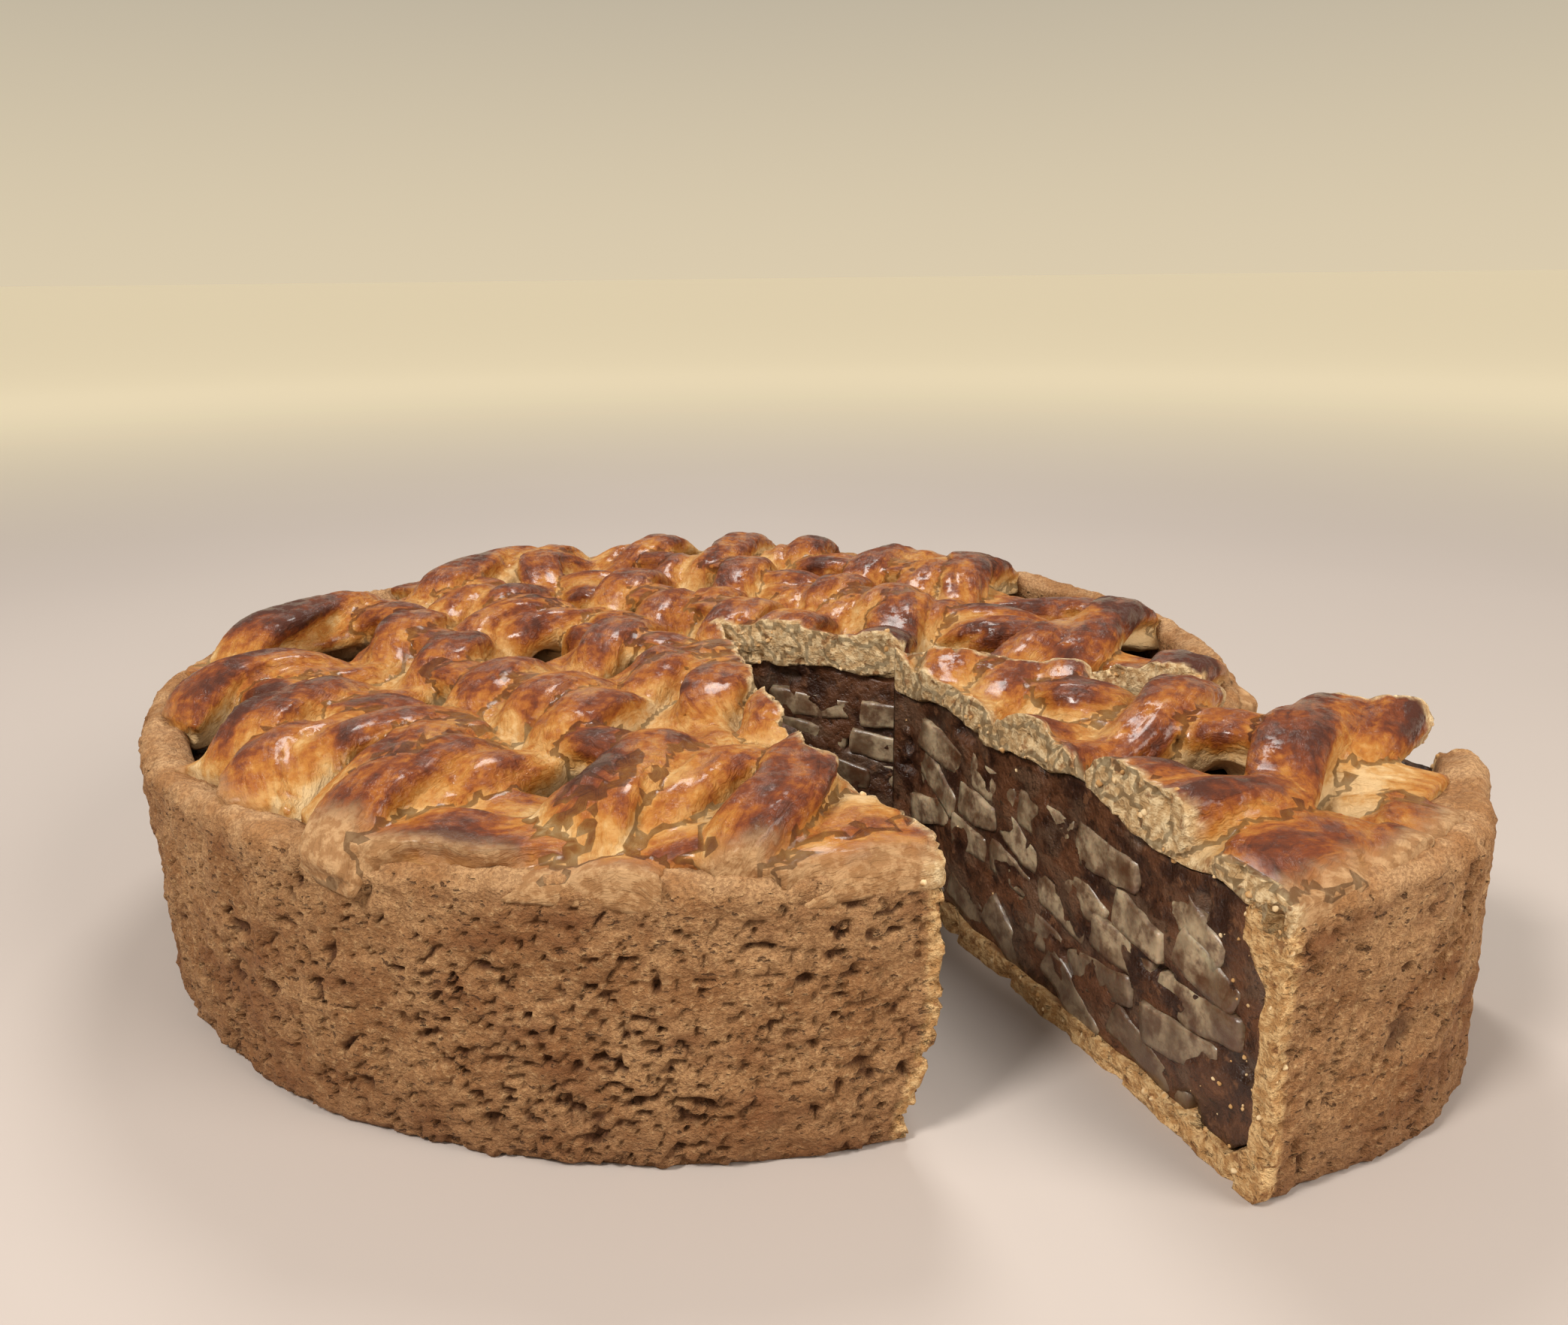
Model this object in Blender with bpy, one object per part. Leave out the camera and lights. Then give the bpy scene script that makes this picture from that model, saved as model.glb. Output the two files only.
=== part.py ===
"""A round Dutch apple pie of 24 cm, baked in a springform: a thick shortcrust case, a cinnamon
apple filling and a lattice of twisted dough strips. One slice is cut and drawn half out of its
gap. Each of the two shares is a case, a filling and a lattice."""

import math

import bmesh
import bpy
from mathutils import Matrix, Vector, noise

# The case of shortcrust
TIN_RADIUS = 0.120
WALL_HEIGHT = 0.0493
WALL_THICKNESS = 0.0095
BASE_THICKNESS = 0.006
BASE_CORNER = 0.004
RIM_ROUND = 0.0035
RIM_INNER_DROP = 0.0010
FOOT_ROUND = 0.0022
WALL_LEVELS = (0.0085, 0.0155, 0.0225, 0.0295, 0.0365)
WALL_WAVE = 0.0012
WALL_ROUGHNESS = 0.0007
INSIDE_WAVE = 0.0008
RIM_WAVE = 0.0022
RIM_ROUGHNESS = 0.0008
LIP_ABOVE_FILLING = 0.0008

# The apple filling
FILLING_HEIGHT = 0.0450

# The twisted strips of the lattice
STRIP_HALF_WIDTH = 0.0132
STRIP_HALF_THICKNESS = 0.0080
STRIP_PRESS = 0.60
STRIP_LEVEL = 0.0495
STRIP_LIFT = 0.0016
STRIP_STATION = 0.0115
STRIP_ANGLES = [math.radians(angle) for angle in (-22, 18, 54, 90, 126, 162, 202)]
STRIP_SINK = 0.0010
STRIP_SINK_STEP = 0.0001
TWIST_PITCH = 0.080

# How unevenly a strip is rolled and laid
SIDE_SWAY = 0.0016
TWIST_SWAY = 0.35
WIDTH_SWAY = 0.08

# The ends of the strips, pressed on the rim
STRIP_END = 0.0135
STRIP_REACH = 0.1165
STRIP_RIM_LEVEL = 0.0510
END_WIDTH = 0.86
END_THICKNESS = 0.62
END_PRESS = 0.70
END_TIP = 0.55
HANG_REACH = 0.1225
HANG_DROP = 0.0050

# The slice and its gap
GAP_APEX = Vector((0.0040, 0.0015, 0.0))
GAP_FROM = math.radians(284.6)
GAP_TO = math.radians(330.5)
SLICE_APEX = Vector((0.0050, 0.0002, 0.0))
SLICE_FROM = math.radians(285.9)
SLICE_TO = math.radians(328.6)
SLICE_PLACE = Vector((0.0410, -0.0235, 0.0))
SLICE_TURN = math.radians(2.4)
SLICE_BULGE = 0.0048
SLICE_BULGE_AT = math.radians(309.0)
SLICE_BULGE_SPREAD = math.radians(12.0)
GAP_LEAN = 0.0055
LEAN_HEIGHT = 0.026
LEAN_START = 0.075
LEAN_LENGTH = 0.040
CUT_ROUGHNESS = 0.0009
CUT_STEP = 0.0062
CUT_REACH = 0.150
CUT_LOW = -0.008
CUT_HIGH = 0.076

# Clearance between two pieces that touch
CLEARANCE = 0.0003

# Fineness of the solids
TURN_STEPS = 64
FLAT_ANGLE = math.radians(0.05)
WELD_DISTANCE = 0.00002
SHARP_ANGLE = math.radians(40)

# The node of each share, with its colour and its roughness
SLICE_NODES = ("slice_crust", "slice_filling", "slice_lattice")
DOUGH = ((0.50, 0.27, 0.10), 0.85)
APPLES = ((0.16, 0.065, 0.025), 0.5)
GLAZED = ((0.47, 0.19, 0.045), 0.4)

# Each strip: its heading in degrees, its distance from the pie's centre, how far it bows
# sideways, its twist at the start in degrees, and whether its start and its end hang over the rim.
RISING_STRIPS = (
    (55, -0.092, 0.002, 20, False, False),
    (56, -0.066, -0.002, 70, False, False),
    (57, -0.039, -0.001, 40, False, False),
    (60, -0.019, 0.002, 120, False, False),
    (52, 0.003, -0.002, 60, False, False),
    (50, 0.019, -0.002, 60, True, False),
    (59, 0.035, 0.002, 30, False, False),
    (42, 0.064, -0.002, 100, False, False),
    (36, 0.088, 0.002, 20, False, False),
)
FALLING_STRIPS = (
    (-44, -0.084, 0.003, 30, False, False),
    (-48, -0.050, -0.002, 90, False, True),
    (-52, -0.016, 0.002, 10, False, False),
    (-54, 0.020, -0.002, 60, False, False),
    (-54, 0.052, 0.002, 120, False, False),
    (-50, 0.084, -0.002, 50, False, False),
)


def clear_scene():
    for obj in list(bpy.data.objects):
        bpy.data.objects.remove(obj, do_unlink=True)


def rough(x, y, z, size, seed):
    """Smooth noise from about -1 to 1 whose bumps measure about the given size."""
    return noise.noise(Vector((x, y, z)) / size + Vector((seed * 7.3, seed * 3.1, seed * 5.7)))


def on_circle(azimuth, radius):
    return math.cos(azimuth) * radius, math.sin(azimuth) * radius


def wall_radius(azimuth, z):
    x, y = on_circle(azimuth, TIN_RADIUS)
    wave = WALL_WAVE * rough(x, y, z, 0.060, 1)
    grain = WALL_ROUGHNESS * rough(x, y, z, 0.009, 2)
    aside = (azimuth % (2.0 * math.pi) - SLICE_BULGE_AT) / SLICE_BULGE_SPREAD
    bulge = SLICE_BULGE * math.exp(-aside * aside)
    return TIN_RADIUS - WALL_WAVE + wave + grain + bulge


def rim_height(azimuth):
    x, y = on_circle(azimuth, TIN_RADIUS)
    wave = RIM_WAVE * rough(x, y, 0.0, 0.045, 3)
    return WALL_HEIGHT + wave + RIM_ROUGHNESS * rough(x, y, 0.0, 0.014, 4)


def lip_height(azimuth):
    """Where the rounding of the rim meets the straight inside of the wall."""
    return max(rim_height(azimuth) - RIM_ROUND, FILLING_HEIGHT + LIP_ABOVE_FILLING)


def inner_radius(azimuth):
    x, y = on_circle(azimuth, TIN_RADIUS)
    return TIN_RADIUS - WALL_THICKNESS + INSIDE_WAVE * rough(x, y, 0.0, 0.030, 5)


def outer_wall(azimuth, grow):
    """The outside of the case, from its foot to the inner edge of its rim, as (radius, height)."""
    rim = rim_height(azimuth)
    inner = inner_radius(azimuth)
    levels = [FOOT_ROUND, *WALL_LEVELS, rim - RIM_ROUND]
    wall = [(wall_radius(azimuth, z) + grow, z) for z in levels]
    edge = wall_radius(azimuth, rim)
    crown = [
        (edge - 0.30 * RIM_ROUND + 0.7 * grow, rim - 0.30 * RIM_ROUND + 0.7 * grow),
        (edge - 1.10 * RIM_ROUND, rim + grow),
        (inner + RIM_INNER_DROP, rim - RIM_INNER_DROP + grow),
    ]
    return wall + crown


def crust_profile(azimuth):
    inner = inner_radius(azimuth)
    foot = [(wall_radius(azimuth, 0.0) - FOOT_ROUND, 0.0)]
    inside = [
        (inner, lip_height(azimuth)),
        (inner, BASE_THICKNESS + BASE_CORNER),
        (inner - BASE_CORNER, BASE_THICKNESS),
    ]
    return foot + outer_wall(azimuth, 0.0) + inside


def filling_profile(azimuth):
    inner = inner_radius(azimuth) - CLEARANCE
    low = BASE_THICKNESS + CLEARANCE
    return [(inner - BASE_CORNER, low), (inner, low + BASE_CORNER), (inner, FILLING_HEIGHT)]


def envelope_profile(azimuth):
    """The case and the filling together, larger by the clearance. It shapes the lattice's underside."""
    inner = inner_radius(azimuth) - CLEARANCE
    foot = [(TIN_RADIUS - FOOT_ROUND, -FOOT_ROUND)]
    inside = [(inner, lip_height(azimuth) + CLEARANCE), (inner, FILLING_HEIGHT + CLEARANCE)]
    return foot + outer_wall(azimuth, CLEARANCE) + inside


def object_from(name, mesh_maker):
    mesh = bpy.data.meshes.new(name)
    made = bmesh.new()
    mesh_maker(made)
    bmesh.ops.triangulate(made, faces=made.faces)
    bmesh.ops.recalc_face_normals(made, faces=made.faces)
    made.to_mesh(mesh)
    made.free()
    obj = bpy.data.objects.new(name, mesh)
    bpy.context.scene.collection.objects.link(obj)
    return obj


def turned_solid(name, profile):
    """A closed solid whose profile changes with the azimuth, with a flat face at each end."""

    def make(made):
        columns = []
        for step in range(TURN_STEPS):
            azimuth = 2.0 * math.pi * step / TURN_STEPS
            points = profile(azimuth)
            columns.append([made.verts.new((*on_circle(azimuth, r), z)) for r, z in points])
        for step in range(TURN_STEPS):
            here = columns[step]
            after = columns[(step + 1) % TURN_STEPS]
            for ring in range(len(here) - 1):
                made.faces.new((here[ring], after[ring], after[ring + 1]))
                made.faces.new((here[ring], after[ring + 1], here[ring + 1]))
        made.faces.new([column[0] for column in reversed(columns)])
        made.faces.new([column[-1] for column in columns])

    return object_from(name, make)


def cut_face(apex, azimuth, seed, level, lean=0.0):
    """The points of one level of a rough knife cut that runs outwards from the apex."""
    along = Vector((math.cos(azimuth), math.sin(azimuth), 0.0))
    across = Vector((-along.y, along.x, 0.0))
    points = []
    for step in range(1, round(CUT_REACH / CUT_STEP) + 1):
        distance = step * CUT_STEP
        depth = CUT_ROUGHNESS * rough(distance, level, 0.0, 0.010, seed)
        outwards = eased((distance - LEAN_START) / LEAN_LENGTH)
        depth -= lean * (1.0 - eased(level / LEAN_HEIGHT)) * outwards
        point = apex + along * distance + across * depth
        points.append(Vector((point.x, point.y, level)))
    return points


def wedge(name, apex, start, end, seed, lean=0.0):
    levels = [CUT_LOW]
    while levels[-1] + CUT_STEP < CUT_HIGH:
        levels.append(levels[-1] + CUT_STEP)

    def make(made):
        rows = []
        for level in levels:
            tip = Vector((apex.x, apex.y, level))
            first = cut_face(apex, start, seed, level, lean)
            second = cut_face(apex, end, seed + 1, level)
            rows.append([made.verts.new(p) for p in [tip, *first, *reversed(second)]])
        count = len(rows[0])
        for low, high in zip(rows, rows[1:]):
            for i in range(count):
                j = (i + 1) % count
                made.faces.new((low[i], low[j], high[j], high[i]))
        made.faces.new(list(reversed(rows[0])))
        made.faces.new(rows[-1])

    return object_from(name, make)


def line_of(strip):
    heading, offset, *_ = strip
    angle = math.radians(heading)
    along = Vector((math.cos(angle), math.sin(angle)))
    right = Vector((along.y, -along.x))
    return along, right, right * offset


def crossings(strip, others, lift):
    """The strip's lift where it crosses those of the other direction, and halfway between them."""
    along, _, foot = line_of(strip)
    places = []
    for other in others:
        _, other_right, other_foot = line_of(other)
        distance = (other_foot - foot).dot(other_right) / along.dot(other_right)
        if (foot + along * distance).length < STRIP_REACH - STRIP_END:
            places.append(distance)
    places.sort()
    knots = [(place, lift) for place in places]
    knots += [((low + high) / 2.0, -0.5 * lift) for low, high in zip(places, places[1:])]
    return sorted(knots)


def eased(value):
    value = min(1.0, max(0.0, value))
    return value * value * (3.0 - 2.0 * value)


def mixed(low, high, share):
    return low + (high - low) * share


def lift_at(distance, knots):
    if not knots:
        return 0.0
    before = [k for k in knots if k[0] <= distance]
    after = [k for k in knots if k[0] > distance]
    if not before:
        return after[0][1]
    if not after:
        return before[-1][1]
    (s0, h0), (s1, h1) = before[-1], after[0]
    return mixed(h0, h1, eased((distance - s0) / (s1 - s0)))


def band_radius(angle, half_width, half_thickness):
    """The distance from the middle of the band's oval section to its edge, in one direction."""
    return half_width * half_thickness / math.hypot(
        half_thickness * math.cos(angle), half_width * math.sin(angle)
    )


def strip_mesh(strip, knots, seed):
    """A flat band of dough, twisted about its own length, with both ends pressed flat on the rim."""
    _, offset, bow, twist, hang_start, hang_end = strip
    along, right, foot = line_of(strip)
    start = -math.sqrt((HANG_REACH if hang_start else STRIP_REACH) ** 2 - offset ** 2)
    end = math.sqrt((HANG_REACH if hang_end else STRIP_REACH) ** 2 - offset ** 2)
    stations = max(4, round((end - start) / STRIP_STATION))

    def make(made):
        rings = []
        for station in range(stations + 1):
            share = station / stations
            distance = start + (end - start) * share
            edge = min(distance - start, end - distance)
            inside = eased(edge / STRIP_END)
            hangs = hang_start if share < 0.5 else hang_end
            bend = bow * math.sin(math.pi * share)
            place = foot + along * distance + right * bend
            sway = rough(place.x, place.y, 0.0, 0.030, seed)
            place += right * (SIDE_SWAY * sway)
            rim = STRIP_RIM_LEVEL - (HANG_DROP if hangs else 0.0) * (1.0 - inside)
            middle = STRIP_LEVEL + lift_at(distance, knots)
            height = mixed(rim, middle, inside)
            turn = math.radians(twist) + 2.0 * math.pi * (distance - start) / TWIST_PITCH
            turn += TWIST_SWAY * sway
            width = STRIP_HALF_WIDTH * mixed(END_WIDTH, 1.0, inside) * (1.0 + WIDTH_SWAY * sway)
            thick = STRIP_HALF_THICKNESS * mixed(END_THICKNESS, 1.0, inside)
            press = STRIP_PRESS * mixed(END_PRESS, 1.0, inside)
            tip = END_TIP if station in (0, stations) else 1.0
            ring = []
            for angle in STRIP_ANGLES:
                radius = band_radius(angle - turn, width, thick) * tip
                point = place + right * (radius * math.cos(angle))
                if not hangs and point.length > STRIP_REACH:
                    point *= STRIP_REACH / point.length
                upwards = height + radius * math.sin(angle) * press
                if angle in (STRIP_ANGLES[0], STRIP_ANGLES[-1]):
                    upwards = FILLING_HEIGHT - STRIP_SINK - STRIP_SINK_STEP * (seed % 20)
                ring.append(made.verts.new((point.x, point.y, upwards)))
            rings.append(ring)
        for ring, after in zip(rings, rings[1:]):
            for side in range(len(ring)):
                nxt = (side + 1) % len(ring)
                made.faces.new((ring[side], ring[nxt], after[nxt], after[side]))
        made.faces.new(list(reversed(rings[0])))
        made.faces.new(rings[-1])

    return make


def lattice_strips():
    made = []
    families = (
        ("rising", RISING_STRIPS, FALLING_STRIPS, STRIP_LIFT, 40),
        ("falling", FALLING_STRIPS, RISING_STRIPS, -STRIP_LIFT, 20),
    )
    for family, strips, others, lift, seed in families:
        for number, strip in enumerate(strips):
            knots = crossings(strip, others, lift)
            name = f"{family}_strip_{number}"
            made.append(object_from(name, strip_mesh(strip, knots, seed + number)))
    return made


def apply_boolean(target, operation, tool=None, collection=None):
    modifier = target.modifiers.new("cut", "BOOLEAN")
    modifier.operation = operation
    modifier.solver = "EXACT"
    if collection:
        modifier.operand_type = "COLLECTION"
        modifier.collection = collection
    else:
        modifier.object = tool
    bpy.context.view_layer.update()
    graph = bpy.context.evaluated_depsgraph_get()
    result = bpy.data.meshes.new_from_object(target.evaluated_get(graph))
    target.modifiers.clear()
    target.data = result


def joined(name, pieces):
    """Fuses the pieces into the first of them and removes the others."""
    first, *rest = pieces
    group = bpy.data.collections.new(name + "_pieces")
    bpy.context.scene.collection.children.link(group)
    for piece in rest:
        bpy.context.scene.collection.objects.unlink(piece)
        group.objects.link(piece)
    apply_boolean(first, "UNION", collection=group)
    for piece in rest:
        bpy.data.objects.remove(piece, do_unlink=True)
    bpy.data.collections.remove(group)
    first.name = name
    return first


def copied(source, name):
    obj = bpy.data.objects.new(name, source.data.copy())
    bpy.context.scene.collection.objects.link(obj)
    return obj


def keep_largest_body(obj):
    """Drops the loose scraps that a cut leaves, and melts slivers away."""
    made = bmesh.new()
    made.from_mesh(obj.data)
    bmesh.ops.remove_doubles(made, verts=made.verts, dist=WELD_DISTANCE)
    bmesh.ops.dissolve_limit(made, angle_limit=FLAT_ANGLE, verts=made.verts, edges=made.edges)
    left = set(made.verts)
    bodies = []
    while left:
        queue = [left.pop()]
        body = set(queue)
        while queue:
            vert = queue.pop()
            for edge in vert.link_edges:
                other = edge.other_vert(vert)
                if other in left:
                    left.remove(other)
                    body.add(other)
                    queue.append(other)
        bodies.append(body)
    bodies.sort(key=len, reverse=True)
    for body in bodies[1:]:
        bmesh.ops.delete(made, geom=list(body), context="VERTS")
    bmesh.ops.triangulate(made, faces=made.faces)
    made.to_mesh(obj.data)
    made.free()


def material(name, colour, roughness):
    made = bpy.data.materials.new(name)
    made.use_nodes = True
    shader = made.node_tree.nodes["Principled BSDF"]
    shader.inputs["Base Color"].default_value = (*colour, 1.0)
    shader.inputs["Roughness"].default_value = roughness
    shader.inputs["Metallic"].default_value = 0.0
    return made


def finish(obj, colour, roughness):
    keep_largest_body(obj)
    obj.data.materials.clear()
    obj.data.materials.append(material(obj.name + "_finish", colour, roughness))
    obj.data.shade_smooth()
    obj.data.set_sharp_from_angle(angle=SHARP_ANGLE)


def build():
    clear_scene()
    crust = turned_solid("pie_crust", crust_profile)
    filling = turned_solid("pie_filling", filling_profile)
    shaper = turned_solid("shaper", envelope_profile)
    lattice = joined("pie_lattice", lattice_strips())
    apply_boolean(lattice, "DIFFERENCE", tool=shaper)
    bpy.data.objects.remove(shaper, do_unlink=True)

    gap = wedge("gap", GAP_APEX, GAP_FROM, GAP_TO, 11, GAP_LEAN)
    knife = wedge("knife", SLICE_APEX, SLICE_FROM, SLICE_TO, 13)
    place = bpy.data.objects.new("slice_place", None)
    bpy.context.scene.collection.objects.link(place)
    place.location = SLICE_PLACE
    place.rotation_euler = (0.0, 0.0, SLICE_TURN)

    shares = zip((crust, filling, lattice), SLICE_NODES, (DOUGH, APPLES, GLAZED))
    for whole, name, (colour, roughness) in shares:
        piece = copied(whole, name)
        apply_boolean(piece, "INTERSECT", tool=knife)
        piece.data.transform(Matrix.Translation(-SLICE_APEX))
        piece.parent = place
        apply_boolean(whole, "DIFFERENCE", tool=gap)
        finish(piece, colour, roughness)
        finish(whole, colour, roughness)
    for cutter in (gap, knife):
        bpy.data.objects.remove(cutter, do_unlink=True)


build()
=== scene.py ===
"""A Dutch apple pie of 24 cm with one slice drawn half out of its gap: thick shortcrust wall, apple
and cinnamon filling, and a lattice of twisted strips of dough with an egg glaze."""

import math

import bmesh
import bpy
import numpy as np
from mathutils import Matrix, Vector, noise
from mathutils.kdtree import KDTree


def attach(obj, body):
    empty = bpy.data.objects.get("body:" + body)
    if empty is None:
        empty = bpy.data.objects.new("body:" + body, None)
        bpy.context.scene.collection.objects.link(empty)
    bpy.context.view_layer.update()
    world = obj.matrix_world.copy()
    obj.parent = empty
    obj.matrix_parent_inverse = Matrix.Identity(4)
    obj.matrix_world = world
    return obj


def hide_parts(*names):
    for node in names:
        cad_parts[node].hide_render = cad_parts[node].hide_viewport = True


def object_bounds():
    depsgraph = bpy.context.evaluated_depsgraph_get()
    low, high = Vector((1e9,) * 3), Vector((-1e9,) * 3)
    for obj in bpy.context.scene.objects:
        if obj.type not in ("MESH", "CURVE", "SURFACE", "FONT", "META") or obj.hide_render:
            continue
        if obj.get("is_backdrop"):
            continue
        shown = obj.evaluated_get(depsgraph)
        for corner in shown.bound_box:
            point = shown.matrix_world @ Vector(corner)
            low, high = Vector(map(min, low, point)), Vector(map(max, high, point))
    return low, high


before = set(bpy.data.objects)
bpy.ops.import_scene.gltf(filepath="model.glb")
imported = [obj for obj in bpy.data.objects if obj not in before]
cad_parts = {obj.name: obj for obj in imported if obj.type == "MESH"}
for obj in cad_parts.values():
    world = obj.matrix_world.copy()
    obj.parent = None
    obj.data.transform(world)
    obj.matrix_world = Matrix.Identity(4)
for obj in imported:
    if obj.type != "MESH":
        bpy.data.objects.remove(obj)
cad_low, cad_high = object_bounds()


# The view: from just in front of the pie and a little above it, with the slice's gap on the right.
# A pale floor carries it, under soft light from a big window on the left and a lamp overhead.
VIEW_FROM = Vector((-0.0032, -0.2865, 0.1333))
VIEW_YAW = math.radians(4.37)
VIEW_DOWN = math.radians(16.94)
VIEW_ROLL = math.radians(-0.62)
VIEW_LENS = 29.32
SENSOR_WIDTH = 36.0

ahead = Vector((
    math.sin(VIEW_YAW) * math.cos(VIEW_DOWN),
    math.cos(VIEW_YAW) * math.cos(VIEW_DOWN),
    -math.sin(VIEW_DOWN),
))
level = Vector((math.cos(VIEW_YAW), -math.sin(VIEW_YAW), 0.0))
upright = level.cross(ahead)
rolled_side = level * math.cos(VIEW_ROLL) + upright * math.sin(VIEW_ROLL)
rolled_up = upright * math.cos(VIEW_ROLL) - level * math.sin(VIEW_ROLL)
camera = bpy.data.objects.new("view", bpy.data.cameras.new("view"))
camera.data.lens = VIEW_LENS
camera.data.sensor_width = SENSOR_WIDTH
camera.data.clip_start = 0.01
camera_axes = Matrix((rolled_side, rolled_up, -ahead)).transposed().to_4x4()
camera.matrix_world = Matrix.Translation(VIEW_FROM) @ camera_axes
bpy.context.scene.collection.objects.link(camera)
bpy.context.scene.camera = camera


def lamp(name, place, aim, size, watts, colour):
    light = bpy.data.lights.new(name, "AREA")
    light.shape = "DISK"
    light.size = size
    light.energy = watts
    light.color = colour
    obj = bpy.data.objects.new(name, light)
    obj.location = place
    obj.rotation_euler = (Vector(aim) - Vector(place)).to_track_quat("-Z", "Y").to_euler()
    bpy.context.scene.collection.objects.link(obj)


lamp("window", (-0.50, -0.50, 0.80), (0.0, 0.0, 0.03), 0.26, 9.5, (1.0, 0.96, 0.90))
lamp("side_lamp", (0.70, -0.55, 0.60), (0.0, 0.0, 0.03), 0.60, 7.6, (1.0, 0.94, 0.86))
lamp("ceiling_lamp", (0.05, 0.55, 0.85), (0.0, 0.0, 0.04), 0.34, 4.6, (1.0, 0.97, 0.92))
bpy.context.scene.view_settings.view_transform = "Standard"

room = bpy.context.scene.world or bpy.data.worlds.new("room")
bpy.context.scene.world = room
room.use_nodes = True

floor_mesh = bpy.data.meshes.new("floor")
FLOOR = 40.0
floor_mesh.from_pydata(
    [(-FLOOR, -FLOOR, 0.0), (FLOOR, -FLOOR, 0.0), (FLOOR, FLOOR, 0.0), (-FLOOR, FLOOR, 0.0)],
    [], [(0, 1, 2, 3)],
)
floor = bpy.data.objects.new("floor", floor_mesh)
bpy.context.scene.collection.objects.link(floor)
floor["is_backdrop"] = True


class Value:
    """What comes out of one node, so that a recipe's sums can be written as plain expressions."""

    def __init__(self, recipe, socket):
        self.recipe = recipe
        self.socket = socket

    def also(self, name):
        return Value(self.recipe, self.socket.node.outputs[name])

    def sums(self, operation, first, second):
        return self.recipe.node("ShaderNodeMath", {"operation": operation}, {0: first, 1: second})

    def __add__(self, other):
        return self.sums("ADD", self, other)

    def __radd__(self, other):
        return self.sums("ADD", other, self)

    def __sub__(self, other):
        return self.sums("SUBTRACT", self, other)

    def __rsub__(self, other):
        return self.sums("SUBTRACT", other, self)

    def __mul__(self, other):
        return self.sums("MULTIPLY", self, other)

    def __rmul__(self, other):
        return self.sums("MULTIPLY", other, self)

    def __truediv__(self, other):
        return self.sums("DIVIDE", self, other)

    def __pow__(self, other):
        return self.sums("POWER", self, other)


class Recipe:
    """A node tree, of a material or of geometry, that is filled in node by node."""

    def __init__(self, tree):
        self.tree = tree

    def node(self, kind, settings=None, sockets=None):
        made = self.tree.nodes.new(kind)
        for name, value in (settings or {}).items():
            if name == "stops":
                ramp = made.color_ramp.elements
                while len(ramp) < len(value):
                    ramp.new(0.5)
                for stop, (place, colour) in zip(ramp, value):
                    stop.position = place
                    stop.color = (*colour, 1.0)
            else:
                setattr(made, name, value)
        for key, value in (sockets or {}).items():
            if isinstance(key, int):
                socket = made.inputs[key]
            else:
                socket = next(s for s in made.inputs if s.name == key and s.enabled)
            if isinstance(value, Value):
                self.tree.links.new(value.socket, socket)
            else:
                socket.default_value = value
        return Value(self, next(s for s in made.outputs if s.enabled)) if made.outputs else None

    def blend(self, share, first, second):
        """Two colours in shares, where the share is 0 for the first and 1 for the second."""
        colours = [c if isinstance(c, Value) else (*c, 1.0) for c in (first, second)]
        sockets = {"Factor": share, "A": colours[0], "B": colours[1]}
        return self.node("ShaderNodeMix", {"data_type": "RGBA"}, sockets)

    def step(self, value, low, high, out_low=0.0, out_high=1.0):
        """Rises smoothly from one level to the other while the value goes from low to high."""
        sockets = {"Value": value, "From Min": low, "From Max": high}
        sockets.update({"To Min": out_low, "To Max": out_high})
        return self.node("ShaderNodeMapRange", {"interpolation_type": "SMOOTHSTEP"}, sockets)

    def grain(self, place, size, detail=3.0, roughness=0.55):
        """Noise from 0 to 1 whose spots measure about the given size in metres."""
        sockets = {"Vector": place, "Scale": 1.0 / size, "Detail": detail, "Roughness": roughness}
        return self.node("ShaderNodeTexNoise", None, sockets)

    def vector(self, operation, sockets):
        return self.node("ShaderNodeVectorMath", {"operation": operation}, sockets)

    def stretched(self, place, x, y, z):
        return self.vector("MULTIPLY", {0: place, 1: (x, y, z)})

    def height_of(self, place):
        return self.node("ShaderNodeSeparateXYZ", None, {0: place}).also("Z")

    def noted(self, name):
        """The number that the mesh keeps under this name for each of its points."""
        return self.node("ShaderNodeAttribute", {"attribute_name": name}).also("Fac")

    def bumps(self, height, depth, strength):
        sockets = {"Height": height, "Distance": depth, "Strength": strength}
        return self.node("ShaderNodeBump", None, sockets)

    def feed(self, shader, sockets):
        """Links what changes over the surface to the shader, and sets its plain numbers."""
        for name, value in sockets.items():
            if isinstance(value, Value):
                self.tree.links.new(value.socket, shader.inputs[name])
            else:
                shader.inputs[name].default_value = value


def new_material(name):
    made = bpy.data.materials.new(name)
    made.use_nodes = True
    recipe = Recipe(made.node_tree)
    shader = made.node_tree.nodes["Principled BSDF"]
    place = recipe.node("ShaderNodeTexCoord").also("Object")
    return made, recipe, shader, place


recipe = Recipe(room.node_tree)
elevation = recipe.height_of(recipe.node("ShaderNodeTexCoord").also("Generated"))
wall_light = recipe.blend(recipe.step(elevation, -0.05, 0.45), (0.72, 0.61, 0.43), (0.30, 0.285, 0.26))
recipe.feed(room.node_tree.nodes["Background"], {"Color": wall_light, "Strength": 1.0})

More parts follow.
